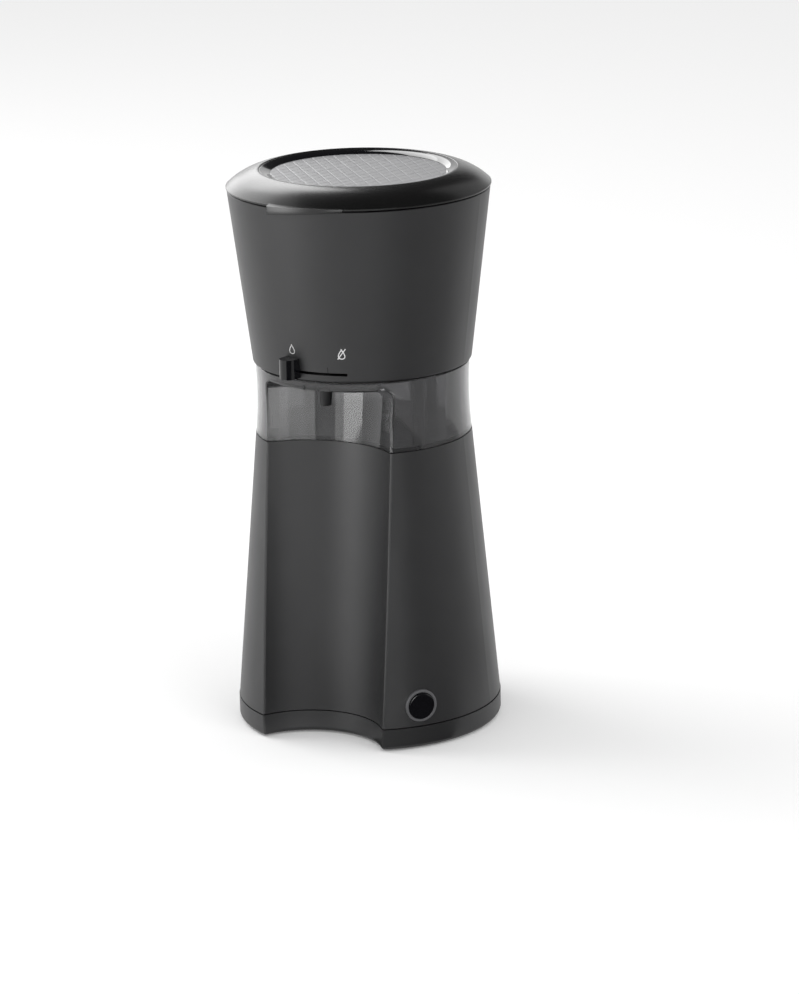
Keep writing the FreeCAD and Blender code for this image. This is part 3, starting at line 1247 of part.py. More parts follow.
def make_lid_liner():
    """Closing plate under the lid, with the water channel from the riser port to the shower head."""
    z0 = HEAD_TOP_Z + LID_GAP
    z1 = z0 + LID_PLATE_T
    plate = turned([
        (0, z0),
        (lid_inner_r(z0) - LID_PLATE_GAP, z0),
        (lid_inner_r(z1) - LID_PLATE_GAP, z1),
        (0, z1),
    ])
    skirt = tube(SKIRT_R, SKIRT_R - SKIRT_T, z0 - SKIRT_H, z0 + SKIRT_LAP)
    port = port_r()
    half = CHANNEL_W / 2
    floor_z = PIPE_TOP_Z + PORT_SEAL_T
    channel = slab(SHOWER_R - CHANNEL_LAP, port, -half, half, floor_z, z1)
    end = rod(half, floor_z, z1, port, 0.0)
    channel = facing(channel.fuse(end), port_azimuth(), 0.0)
    passage = slab(SHOWER_R - CHANNEL_LAP - CHANNEL_MOUTH, port, -half + CHANNEL_WALL, half - CHANNEL_WALL,
                   floor_z + CHANNEL_WALL, z0)
    inlet = rod(PORT_BORE_R, floor_z - OVER, z0, port, 0.0)
    passage = facing(passage.fuse(inlet), port_azimuth(), 0.0)
    body = fuse_all([plate, skirt, channel]).cut(passage)
    half = KNUCKLE_HALF_W + 2 * HINGE_GAP + EAR_W
    start = Vector(-half, HINGE_Y, HINGE_Z)
    return body.cut(rod_along(start, Vector(1, 0, 0), HINGE_R + HINGE_GAP, 2 * half))


def make_port_seal():
    top = pipe_top()
    return tube(PORT_SEAL_R, PORT_BORE_R, PIPE_TOP_Z + PORT_SEAL_RUN, PIPE_TOP_Z + PORT_SEAL_T, top.x, top.y)


def make_shower_head():
    z1 = HEAD_TOP_Z + LID_GAP
    z0 = z1 - SHOWER_H
    body = turned([
        (0, z0),
        (SHOWER_R - SHOWER_EDGE_W, z0),
        (SHOWER_R, z0 + SHOWER_EDGE_H),
        (SHOWER_R, z1),
        (0, z1),
    ])
    room = rod(SHOWER_R - SHOWER_T, z0 + SHOWER_T, z1 + OVER)
    half = CHANNEL_W / 2 + SHOWER_GATE_GAP
    gate_z = PIPE_TOP_Z + PORT_SEAL_T - SHOWER_GATE_GAP
    gate = slab(SHOWER_R - CHANNEL_LAP - SHOWER_GATE_GAP, SHOWER_R + OVER, -half, half, gate_z, z1 + OVER)
    body = body.cut(room).cut(facing(gate, port_azimuth(), 0.0))
    holes = []
    for ring in range(SHOWER_RING_COUNT):
        count = max(1, 6 * ring)
        for i in range(count):
            p = spot(ring * SHOWER_RING_STEP, i * 360.0 / count, 0)
            holes.append(rod(SHOWER_HOLE_R, z0 - OVER, z0 + SHOWER_T + OVER, p.x, p.y))
    return body.cut(holes)


def u_tube(radius, z):
    """Round bar bent into a U: two legs back along +Y and a half turn at the front."""
    legs = [
        rod_along(Vector(side * LINE_X, HEATER_Y, z), Vector(0, 1, 0), radius, HEATER_LEG)
        for side in (-1, 1)
    ]
    bend = Part.makeTorus(LINE_X, radius, Vector(0, 0, z), Vector(0, 0, 1), -180, 180, 180)
    bend.rotate(Vector(0, 0, z), Vector(0, 0, 1), 180)
    bend.translate(Vector(0, HEATER_Y, 0))
    return legs + [bend]


def make_heater():
    """Cast aluminium flow heater: the water tube over the sheathed element, joined by a web."""
    element_z = HEATER_Z - ELEMENT_DROP
    half = HEATER_WEB_T / 2
    back_y = HEATER_Y + HEATER_LEG
    web_parts = []
    for side in (-1, 1):
        x = side * LINE_X
        web_parts.append(slab(x - half, x + half, HEATER_Y, back_y, element_z, HEATER_Z))
    reach = 2 * LINE_X
    front = slab(-reach, reach, HEATER_Y - reach, HEATER_Y, element_z, HEATER_Z)
    bend_web = tube(LINE_X + half, LINE_X - half, element_z, HEATER_Z, 0.0, HEATER_Y).common(front)
    nipples = []
    pins = []
    bores = []
    for side in (-1, 1):
        x = side * LINE_X
        nipples.append(rod_along(Vector(x, back_y - OVER, HEATER_Z), Vector(0, 1, 0), HOSE_BORE_R,
                                 HEATER_NIPPLE_L + OVER))
        pins.append(rod_along(Vector(x, back_y - OVER, element_z), Vector(0, 1, 0), ELEMENT_PIN_R,
                              ELEMENT_PIN_L + OVER))
        bores.append(rod_along(Vector(x, HEATER_Y, HEATER_Z), Vector(0, 1, 0), HEATER_BORE_R,
                               HEATER_LEG + HEATER_NIPPLE_L + OVER))
    body = fuse_all(u_tube(HEATER_TUBE_R, HEATER_Z) + u_tube(ELEMENT_R, element_z)
                    + web_parts + [bend_web] + nipples + pins)
    return body.cut(fuse_all(bores + u_tube(HEATER_BORE_R, HEATER_Z)[2:]))


def make_heater_bracket():
    z1 = STRAP_Z
    reach = LINE_X + STRAP_REACH
    plate = slab(-reach, reach, STRAP_Y0, STRAP_Y1, z1 - STRAP_T, z1)
    middle_y = (STRAP_Y0 + STRAP_Y1) / 2
    for x in (-STRAP_POST_X, STRAP_POST_X):
        plate = plate.cut(rod(SCREW_R + STRAP_HOLE_GAP, z1 - 2 * STRAP_T, z1 + OVER, x, middle_y))
    for side in (-1, 1):
        x0 = side * (LINE_X + HEATER_TUBE_R + STRAP_GAP)
        x1 = x0 + side * STRAP_T
        cheek = slab(min(x0, x1), max(x0, x1), STRAP_Y0, STRAP_Y1, z1 - STRAP_T, HEATER_Z)
        foot = slab(min(side * reach, x1), max(side * reach, x1), STRAP_Y0, STRAP_Y1, z1 - STRAP_T, z1)
        plate = plate.fuse([cheek, foot])
    return plate.removeSplitter()


def make_bracket_screws():
    middle_y = (STRAP_Y0 + STRAP_Y1) / 2
    screws = []
    for x in (-STRAP_POST_X, STRAP_POST_X):
        head = rod(SCREW_HEAD_R, STRAP_Z, STRAP_Z + STRAP_SCREW_HEAD_T, x, middle_y)
        shank = rod(SCREW_R, STRAP_Z - STRAP_T - STRAP_SCREW_L, STRAP_Z, x, middle_y)
        screws.append(head.fuse(shank).removeSplitter())
    return group(screws)


def make_thermostat():
    z = HEATER_Z + HEATER_TUBE_R
    x = LINE_X
    body = rod(THERMOSTAT_R, z, z + THERMOSTAT_H, x, SENSOR_Y)
    top = z + THERMOSTAT_H
    cap = rod(THERMOSTAT_R - THERMOSTAT_CAP_IN, top, top + THERMOSTAT_CAP_H, x, SENSOR_Y)
    reach = THERMOSTAT_R + THERMOSTAT_TAB_REACH
    tab_z = z + THERMOSTAT_TAB_Z
    tabs = slab(x - reach, x + reach, SENSOR_Y - THERMOSTAT_TAB_W / 2, SENSOR_Y + THERMOSTAT_TAB_W / 2,
                tab_z, tab_z + THERMOSTAT_TAB_T)
    return fuse_all([body, cap, tabs])


def make_thermal_fuse():
    z = HEATER_Z + HEATER_TUBE_R + FUSE_R
    start = Vector(-LINE_X, SENSOR_Y - FUSE_L / 2, z)
    body = rod_along(start, Vector(0, 1, 0), FUSE_R, FUSE_L)
    lead = rod_along(start - Vector(0, FUSE_LEAD_L, 0), Vector(0, 1, 0), FUSE_LEAD_R, FUSE_L + 2 * FUSE_LEAD_L)
    return fuse_all([body, lead])


def make_check_valve():
    z0 = VALVE_Z0
    z1 = VALVE_Z1
    body = turned([
        (0, z0 - VALVE_NIPPLE_L),
        (HOSE_BORE_R, z0 - VALVE_NIPPLE_L),
        (HOSE_BORE_R, z0),
        (VALVE_R - VALVE_EDGE, z0),
        (VALVE_R, z0 + VALVE_EDGE),
        (VALVE_R, z1 - VALVE_EDGE),
        (VALVE_R - VALVE_EDGE, z1),
        (HOSE_BORE_R, z1),
        (HOSE_BORE_R, z1 + VALVE_NIPPLE_L),
        (0, z1 + VALVE_NIPPLE_L),
    ])
    body = body.cut(rod(NIPPLE_BORE_R, z0 - 2 * VALVE_NIPPLE_L, z1 + 2 * VALVE_NIPPLE_L))
    body.translate(Vector(-LINE_X, LINE_Y, 0))
    return body


def hose(x, z_top):
    """Hose from the heater's nipple, bending up and rising to z_top."""
    y0 = HEATER_Y + HEATER_LEG + HOSE_END_GAP
    bend_y = LINE_Y - HOSE_BEND_R
    bend_z = HEATER_Z + HOSE_BEND_R
    shapes = []
    for radius in (HOSE_R, HOSE_BORE_R):
        level = rod_along(Vector(x, y0, HEATER_Z), Vector(0, 1, 0), radius, bend_y - y0)
        bend = Part.makeTorus(HOSE_BEND_R, radius, Vector(0, 0, 0), Vector(0, 0, 1), -180, 180, 90)
        bend.rotate(Vector(0, 0, 0), Vector(0, 1, 0), -90)
        bend.rotate(Vector(0, 0, 0), Vector(1, 0, 0), -90)
        bend.translate(Vector(x, bend_y, bend_z))
        rise = rod(radius, bend_z, z_top, x, LINE_Y)
        shapes.append(level.fuse([bend, rise]))
    return shapes[0].cut(shapes[1]).removeSplitter()


def make_tank_hose():
    return tube(HOSE_R, HOSE_BORE_R, VALVE_Z1, COLUMN_TOP_Z - COLUMN_WALL - HOSE_UNDER_TANK,
                -LINE_X, LINE_Y)


def make_feed_hose():
    return hose(-LINE_X, VALVE_Z0)


def make_riser_hose():
    return hose(LINE_X, HOSE_TOP_Z)


def make_hose_clamps():
    """Spring bands at each hose end."""
    clamps = []
    top = COLUMN_TOP_Z - COLUMN_WALL - HOSE_UNDER_TANK - CLAMP_INSET
    ends = [top, VALVE_Z1 + CLAMP_INSET + CLAMP_W, VALVE_Z0 - CLAMP_INSET]
    for z in ends:
        clamps.append(tube(HOSE_R + CLAMP_T, HOSE_R, z - CLAMP_W, z, -LINE_X, LINE_Y))
    y0 = HEATER_Y + HEATER_LEG + HOSE_END_GAP + CLAMP_INSET
    for x in (-LINE_X, LINE_X):
        start = Vector(x, y0, HEATER_Z)
        band = rod_along(start, Vector(0, 1, 0), HOSE_R + CLAMP_T, CLAMP_W)
        bore = rod_along(start - Vector(0, OVER, 0), Vector(0, 1, 0), HOSE_R, CLAMP_W + 2 * OVER)
        clamps.append(band.cut(bore))
    return group(clamps)


def button_face_r():
    """Radius of the column's surface at the button."""
    return column_r(BUTTON_Z)


def light_ring_r():
    return BUTTON_R + BUTTON_GAP + LIGHT_RING_W


def board_face_r():
    """Radius of the control board's outer face."""
    cap_back = button_face_r() + BUTTON_PROUD - BUTTON_L
    return cap_back - BUTTON_TRAVEL - SWITCH_CLEAR - SWITCH_L


def make_button_cap():
    front = button_face_r() + BUTTON_PROUD
    body = rod_along(Vector(front - BUTTON_L, 0, 0), Vector(1, 0, 0), BUTTON_R, BUTTON_L)
    rim = [e for e in body.Edges if e.BoundBox.XMin > front - FIT]
    body = body.makeFillet(BUTTON_EDGE_R, rim)
    inner_start = Vector(front - BUTTON_L - OVER, 0, 0)
    hollow = rod_along(inner_start, Vector(1, 0, 0), BUTTON_R - BUTTON_WALL, BUTTON_L - BUTTON_FACE_T + OVER)
    body = body.cut(hollow)
    socket = rod_along(Vector(front - BUTTON_L, 0, 0), Vector(1, 0, 0), PLUNGER_R + BUTTON_SOCKET_WALL,
                       BUTTON_L - BUTTON_SOCKET_SHORT)
    body = body.fuse(socket).removeSplitter()
    hole = rod_along(inner_start, Vector(1, 0, 0), PLUNGER_R, PLUNGER_IN_CAP + OVER)
    return facing(body.cut(hole), BUTTON_AZ, BUTTON_Z)


def make_switch_plunger():
    cap_back = button_face_r() + BUTTON_PROUD - BUTTON_L
    start = cap_back - BUTTON_TRAVEL - SWITCH_CLEAR - PLUNGER_IN_SWITCH
    length = cap_back + PLUNGER_IN_CAP - start
    return facing(rod_along(Vector(start, 0, 0), Vector(1, 0, 0), PLUNGER_R, length), BUTTON_AZ, BUTTON_Z)


def make_power_switch():
    front = board_face_r() + SWITCH_L
    half = SWITCH_SIDE / 2
    body = slab(board_face_r(), front, -half, half, -half, half)
    depth = PLUNGER_IN_SWITCH + BUTTON_TRAVEL + SWITCH_SPARE
    hole = rod_along(Vector(front - depth, 0, 0), Vector(1, 0, 0), PLUNGER_R + PLUNGER_GAP, depth + OVER)
    return facing(body.cut(hole), BUTTON_AZ, BUTTON_Z)


def make_control_board():
    """Board with its relay, capacitor and the lamp behind the light ring."""
    face = board_face_r()
    z0 = FLOOR_GAP + FLOOR_T + BOARD_LIFT
    top = z0 + BOARD_H
    board = slab(face - BOARD_T, face, BOARD_SIDE0, BOARD_SIDE1, z0, top)
    back = face - BOARD_T
    relay = slab(back - RELAY_D, back, RELAY_SIDE, RELAY_SIDE + RELAY_W, top - RELAY_W - RELAY_SIDE, top - RELAY_SIDE)
    cap = rod_along(Vector(back, BOARD_SIDE1 - CAPACITOR_INSET, top - CAPACITOR_DROP), Vector(-1, 0, 0),
                    CAPACITOR_R, CAPACITOR_L)
    lamp = rod_along(Vector(face, BUTTON_R + LED_SIDE, BUTTON_Z), Vector(1, 0, 0), LED_R, LED_L)
    return facing(fuse_all([board, relay, cap, lamp]), BUTTON_AZ, 0.0)


def make_light_ring():
    front = button_face_r() + LIGHT_RING_PROUD
    body = rod_along(Vector(front - LIGHT_RING_L, 0, 0), Vector(1, 0, 0), light_ring_r(), LIGHT_RING_L)
    rim = [e for e in body.Edges if e.BoundBox.XMin > front - FIT]
    body = body.makeFillet(LIGHT_RING_EDGE_R, rim)
    bore = rod_along(Vector(front - 2 * LIGHT_RING_L, 0, 0), Vector(1, 0, 0), BUTTON_R + BUTTON_GAP,
                     3 * LIGHT_RING_L)
    return facing(body.cut(bore), BUTTON_AZ, BUTTON_Z)


def gland_back_y():
    """Inner face of the flat pad that the cable entry bush clips into."""
    return column_r(GLAND_Z) - COLUMN_WALL - GLAND_CHEEK


def make_cord_gland():
    back_face = gland_back_y()
    along = Vector(0, 1, 0)
    body = rod_along(Vector(0, back_face - GLAND_INSIDE_L, GLAND_Z), along, GLAND_R,
                     GLAND_PAD_Y - back_face + GLAND_INSIDE_L)
    flange = rod_along(Vector(0, GLAND_PAD_Y, GLAND_Z), along, GLAND_FLANGE_R, GLAND_FLANGE_T)
    outer = [e for e in flange.Edges if e.BoundBox.YMin > GLAND_PAD_Y + GLAND_FLANGE_T - FIT]
    flange = flange.makeFillet(GLAND_EDGE_R, outer)
    lip = rod_along(Vector(0, back_face - GLAND_INSIDE_L, GLAND_Z), along, GLAND_R + GLAND_LIP, GLAND_INSIDE_L)
    bore_l = GLAND_PAD_Y - back_face + GLAND_INSIDE_L + GLAND_FLANGE_T
    bore = rod_along(Vector(0, back_face - GLAND_INSIDE_L - OVER, GLAND_Z), along, GLAND_BORE_R, bore_l + 2 * OVER)
    return fuse_all([body, flange, lip]).cut(bore)


PIECES = {
    "base_plinth": make_base_plinth,
    "rubber_feet": make_rubber_feet,
    "base_screws": make_base_screws,
    "lower_housing": make_lower_housing,
    "water_tank": make_water_tank,
    "tank_gasket": make_tank_gasket,
    "tie_screws": make_tie_screws,
    "head_housing": make_head_housing,
    "chamber_liner": make_chamber_liner,
    "riser_grommet": make_riser_grommet,
    "riser_pipe": make_riser_pipe,
    "brew_basket": make_brew_basket,
    "basket_seal": make_basket_seal,
    "filter_frame": make_filter_frame,
    "filter_mesh": make_filter_mesh,
    "filter_handle": make_filter_handle,
    "drip_spout": make_drip_spout,
    "gate_seal": make_gate_seal,
    "shutter_plate": make_shutter_plate,
    "slider_knob": make_slider_knob,
    "lid_cover": make_lid_cover,
    "lid_bevel": make_lid_bevel,
    "lid_panel": make_lid_panel,
    "lid_liner": make_lid_liner,
    "port_seal": make_port_seal,
    "shower_head": make_shower_head,
    "hinge_pin": make_hinge_pin,
    "heater": make_heater,
    "heater_bracket": make_heater_bracket,
    "bracket_screws": make_bracket_screws,
    "thermostat": make_thermostat,
    "thermal_fuse": make_thermal_fuse,
    "check_valve": make_check_valve,
    "tank_hose": make_tank_hose,
    "feed_hose": make_feed_hose,
    "riser_hose": make_riser_hose,
    "hose_clamps": make_hose_clamps,
    "button_cap": make_button_cap,
    "switch_plunger": make_switch_plunger,
    "power_switch": make_power_switch,
    "control_board": make_control_board,
    "light_ring": make_light_ring,
    "cord_gland": make_cord_gland,
}


def main():
    os.makedirs("parts", exist_ok=True)
    for name, make in PIECES.items():
        shape = make()
        solids = shape.Solids
        if not solids or not shape.isValid():
            raise RuntimeError("bad shape: " + name)
        out = solids[0] if len(solids) == 1 else Part.makeCompound(solids)
        out.exportStep("parts/" + name + ".step")
        print(name, len(solids), "solids", round(sum(s.Volume for s in solids)), "mm3")


main()
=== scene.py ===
"""Looks of a single-serve iced coffee maker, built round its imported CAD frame.

Laid out as a Blender add-on and run as a script. Lengths in the code are millimetres unless a name says
otherwise, and are brought to metres by MM. An azimuth is an angle in degrees from the front (-Y) towards
the machine's right (+X).
"""

import json
import math

import bmesh
import bpy
from bpy.props import FloatProperty, FloatVectorProperty, IntProperty, PointerProperty
from mathutils import Matrix, Vector


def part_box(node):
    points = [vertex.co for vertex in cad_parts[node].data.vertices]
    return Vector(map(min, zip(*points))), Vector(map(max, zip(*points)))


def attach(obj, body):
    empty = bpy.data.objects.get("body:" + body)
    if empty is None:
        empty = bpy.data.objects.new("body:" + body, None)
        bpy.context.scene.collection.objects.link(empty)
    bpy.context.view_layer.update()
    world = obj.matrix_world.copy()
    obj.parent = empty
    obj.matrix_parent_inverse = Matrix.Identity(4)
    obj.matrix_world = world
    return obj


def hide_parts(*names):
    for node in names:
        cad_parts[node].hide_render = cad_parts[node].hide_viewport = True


bl_info = {
    "name": "Iced Coffee Maker",
    "version": (1, 0, 0),
    "blender": (4, 5, 0),
    "location": "View3D > Sidebar > Coffee Maker",
    "description": "Models the visible pieces, finishes and studio of a single-serve iced coffee maker",
    "category": "Object",
}

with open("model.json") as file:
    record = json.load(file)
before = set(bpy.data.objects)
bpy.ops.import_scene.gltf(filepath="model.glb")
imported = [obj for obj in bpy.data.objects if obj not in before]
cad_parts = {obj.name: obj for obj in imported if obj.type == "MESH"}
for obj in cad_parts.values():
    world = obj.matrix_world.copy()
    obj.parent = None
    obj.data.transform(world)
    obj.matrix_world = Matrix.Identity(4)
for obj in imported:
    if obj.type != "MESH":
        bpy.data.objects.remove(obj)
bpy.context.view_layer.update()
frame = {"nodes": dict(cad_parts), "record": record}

MM = 0.001


def corners(node):
    """Lowest and highest corner of a CAD node at rest, in millimetres."""
    low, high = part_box(node)
    return low / MM, high / MM


# Places read from the frame
LID_HIGH = corners("lid_cover")[1]
BEVEL_LOW, BEVEL_HIGH = corners("lid_bevel")
DISC_HIGH = corners("lid_panel")[1]
PIN_LOW, PIN_HIGH = corners("hinge_pin")
SPOUT_LOW, SPOUT_HIGH = corners("drip_spout")
KNOB_LOW, KNOB_HIGH = corners("slider_knob")
GLAND_LOW = corners("cord_gland")[0]
MESH_LOW, MESH_HIGH = corners("filter_mesh")

# Facets round pieces and cutters
COARSE_STEPS = 40
FOOT_STEPS = 48
SMALL_STEPS = 64
KNOB_STEPS = 96
DISC_STEPS = 160
CUTTER_STEPS = 256

# Head, a cone that widens upwards
HEAD_BOTTOM_Z = 210.4
HEAD_BOTTOM_R = 61.7
HEAD_TOP_Z = 308.4
HEAD_TOP_R = 73.7
SLOT_TOP_Z = 215.9

# Lid: rim, rounded dome, and the recess of the ring and the disc
LID_RIM_R = LID_HIGH.x
LID_CREST_Z = LID_HIGH.z
LID_RIM_LOW_Z = HEAD_TOP_Z + 0.7
LID_RIM_Z = HEAD_TOP_Z + 1.7
LID_RIM_EDGE = 0.4
LID_SHOULDER_R = LID_RIM_R - 7.0
LID_SHOULDER_Z = LID_CREST_Z - 3.9
LID_CREST_R = LID_RIM_R - 18.4
LID_CREST_EDGE = 0.25
LID_CREST_EASE = 0.06
LID_DOME_STEPS = 16
LID_WALL = 2.0
LID_FLOOR_T = 1.8
RECESS_R = BEVEL_HIGH.x
RECESS_Z = BEVEL_LOW.z
BEVEL_TOP_W = 0.8
BEVEL_OVER_DISC = 0.2
DISC_R = DISC_HIGH.x
DISC_Z = DISC_HIGH.z
DISC_GAP = 0.02
DISC_CUTTER_H = 6.0
HATCH_MARGIN = 1.4
FINE_ROUND = 0.15

# Hinge at the rear
HINGE_Y = (PIN_LOW.y + PIN_HIGH.y) / 2
HINGE_Z = (PIN_LOW.z + PIN_HIGH.z) / 2
HINGE_R = 3.8
HINGE_GAP = 0.35
PIN_BORE_R = 1.55
KNUCKLE_HALF_W = 8.7
EAR_W = 6.0
WEB_INTO_RIM = 1.9
WEB_INTO_BARREL = 0.3
WEB_RISE = 1.2
WEB_ROUND = 2.4

# Finger tab: TURN and LEAN point its spin axis, SHIFT moves it, LIFT tips its underside and SLOPE its top
TAB_AZ = 17.5
TAB_TURN = 2.6
TAB_OUT = 0.28
TAB_DROP = 3.4
TAB_LIFT = 4.5
TAB_RISE = 0.6
TAB_SLOPE = 16.0
TAB_SHIFT = 3.4
TAB_LEAN = 53.0
TAB_GAP = 0.4
TAB_SEAM = 0.02
TAB_UNDER = 5.0
TAB_STEPS = 48

# Knob of the drip stop, on the arm that comes out of the slot
KNOB_AZ = -13.5
KNOB_HALF_W = 4.9
KNOB_NOSE_R = 66.8
KNOB_GAP = 0.35
KNOB_LOW_Z = KNOB_LOW.z + 0.6
KNOB_HIGH_Z = KNOB_HIGH.z - 0.5
KNOB_ROUND = 0.8
KNOB_CUT_PAST = 2.0
KNOB_ON_AXIS = 0.01
ARM_HALF_W = 2.25
ARM_LOW_Z = 214.55
ARM_HIGH_Z = 215.65
ARM_END_R = 65.6

# Icons and marks: azimuth and height of their middle, and half width, depth and half height of a mark
DROP_AZ = -12.95
DROP_Z = 227.9
DROP_SCALE = (0.92, 1.0, 0.94)
DROP_POINTS = 48
DROP_WIDTH = 0.95
DROP_TAPER = 1.4
CROSSED_AZ = 14.1
CROSSED_Z = 227.2
BAR_ANGLE = 36.5
BAR_REACH = 0.63
BAR_PROUD = 0.01
INK_SINK = 0.02
SLOT_MARK_AZ = 6.5
SLOT_MARK_Z = SLOT_TOP_Z + 1.7
SLOT_MARK = (0.27, 0.06, 1.6)
TANK_MARK_AZ = -8.2
TANK_MARK_Z = 206.2
TANK_MARK = (0.35, 0.15, 1.35)
TANK_R = 60.6

# Drip spout, with the flange that seats it in the head's floor
SPOUT_Y = (SPOUT_LOW.y + SPOUT_HIGH.y) / 2
SPOUT_BORE_R = 2.2
SPOUT_TIP_R = 3.15
SPOUT_R = 3.9
SPOUT_ROOT_Z = 204.4
SPOUT_FLANGE_Z = HEAD_BOTTOM_Z + 2.5
SPOUT_FLANGE_R = 9.5
SPOUT_FLANGE_T = 1.4
SPOUT_SEAT_R = 6.6
SPOUT_MOUTH_R = 3.6
SPOUT_MOUTH_H = 0.6
SPOUT_FUNNEL_H = 2.0
SPOUT_ROUND = 0.3

# Net of the filter
FILTER_Y = (MESH_LOW.y + MESH_HIGH.y) / 2
FILTER_TAPER = 17.8 / 60.0
FILTER_GAP = 0.03
FILTER_SECTORS = 6

# Power button and its ring. The dish gives radius and depth below the rim.
BUTTON_AZ = 47.0
BUTTON_Z = 25.0
BUTTON_R = 7.5
BUTTON_FACE_R = 74.08
BUTTON_PROUD = 1.4
BUTTON_L = 8.0
BUTTON_DISH = ((0.0, 0.5), (2.5, 0.45), (4.8, 0.2), (6.1, 0.0))
BUTTON_EDGE = 0.5
BUTTON_EDGE_EASE = 0.15
BUTTON_WALL = 1.6
BUTTON_FACE_T = 1.8
BUTTON_STEM_R = 2.8
BUTTON_STEM_BORE_R = 1.6
BUTTON_STEM_SHORT = 0.1
BUTTON_STEM_BORE_L = 4.0
RING_INNER_R = 7.75
RING_OUTER_R = 9.35
RING_PROUD = 0.6
RING_L = 7.0
RING_ROUND = 0.3

# Cable entry bush
GLAND_Z = 25.0
GLAND_PAD_Y = 75.1
GLAND_FLANGE_R = 8.5
GLAND_FLANGE_T = 1.8
GLAND_R = 6.0
GLAND_BORE_R = 3.5
GLAND_BACK_Y = GLAND_LOW.y
GLAND_LIP_W = 0.8
GLAND_LIP_L = 2.5
GLAND_ROUND = 0.6

# Feet and base screws: outlines of radius and height
FOOT_CIRCLE_R = 61.5
FOOT_AZ = (-52.0, 52.0, -135.0, 135.0)
FOOT_OUTLINE = (
    (0.0, 0.35), (3.2, 0.35), (3.6, 0.0), (4.4, 0.0), (4.8, 0.35), (5.6, 0.35),
    (6.0, 0.0), (7.0, 0.0), (7.6, 0.4), (8.0, 1.0), (8.0, 2.0), (0.0, 2.0),
)
SCREW_CIRCLE_R = 64.0
SCREW_AZ = (-88.0, 88.0, -160.0, 160.0)
SCREW_OUTLINE = (
    (0.0, 1.0), (2.6, 1.0), (3.1, 1.25), (3.2, 1.6), (3.2, 2.1),
    (1.5, 2.1), (1.5, 17.0), (1.1, 18.0), (0.0, 18.0),
)
DRIVE_HALF_L = 1.7
DRIVE_HALF_W = 0.35
DRIVE_TOP_Z = 1.5

# The photograph's camera: fitted focal length in pixels of its frame, place in metres, azimuth in degrees,
# and yaw, pitch and roll in radians
FRAME_HEIGHT = 995
FOCAL_PIXELS = 4039.17
SENSOR = 36.0
CAMERA_PLACE = (0.9166, -2.0160, 0.7560)
CAMERA_AZIMUTH = 24.45
CAMERA_YAW = 0.0087
CAMERA_PITCH = 0.2767
CAMERA_ROLL = -0.0207

# Studio, in metres. A place is given to the camera's right, away from the camera, and up. Lamps and cards
# face the machine's axis at AIM_HEIGHT, apart from the cards below LYING_BELOW, which lie flat.
AMBIENT = 0.76
FLOOR_LIFT = 0.115
FLOOR_SIZE = 12.0
FLOOR_WHITE = 0.9
AIM_HEIGHT = 0.17
LYING_BELOW = 0.01

# Lamps: name, place, width and power
LAMPS = (
    ("Key", (-1.4, 0.7, 1.5), 1.4, 20.0),
    ("Fill", (1.0, -1.4, 1.2), 1.2, 9.0),
)

# Cards: name, place, width and height, and strength
CARDS = (
    ("High softbox", (-0.44, 1.3, 1.36), (0.68, 0.72), 5.4),
    ("Low softbox", (-0.53, 1.57, 0.88), (0.82, 0.6), 3.6),
    ("Left glow", (-1.2, 1.6, 1.3), (2.1, 1.9), 2.9),
    ("Left softbox", (-1.03, -0.5, 0.27), (0.49, 0.52), 6.0),
    ("Left softbox edge", (-0.86, -0.79, 0.27), (0.2, 0.52), 2.8),
    ("Front glow", (0.45, -1.32, 0.2), (0.54, 0.38), 4.2),
    ("Middle glow", (-0.15, -1.39, 0.2), (0.7, 0.38), 3.3),
    ("Right strip", (1.25, 0.42, 0.3), (0.16, 0.6), 2.0),
    ("Front flag", (0.9, -2.2, 0.9), (3.6, 3.0), 0.06),
    ("Side flag", (2.0, -0.1, 0.0), (2.2, 2.2), 0.3),
    ("Top flag", (0.6, -0.2, 2.2), (3.2, 4.2), 0.03),
    ("Rear flag", (0.35, 1.87, 1.7), (1.1, 1.9), 0.05),
    ("Rear side flag", (1.75, 1.47, 1.4), (2.5, 2.2), 0.45),
)
TABLE_CARDS = (
    ("Front table flag", (0.92, -1.55, 0.002), (2.6, 1.7), 0.05),
    ("Right table flag", (1.1, -0.3, 0.002), (1.9, 0.8), 0.5),
    # Painted shadow: a dark card, seen only in gloss, stands in for the floor's shade in front of the bay in
    # the reflections of the bay and the plinth
    ("Near table flag", (0.1, -0.21, 0.003), (0.4, 0.3), 0.05),
)


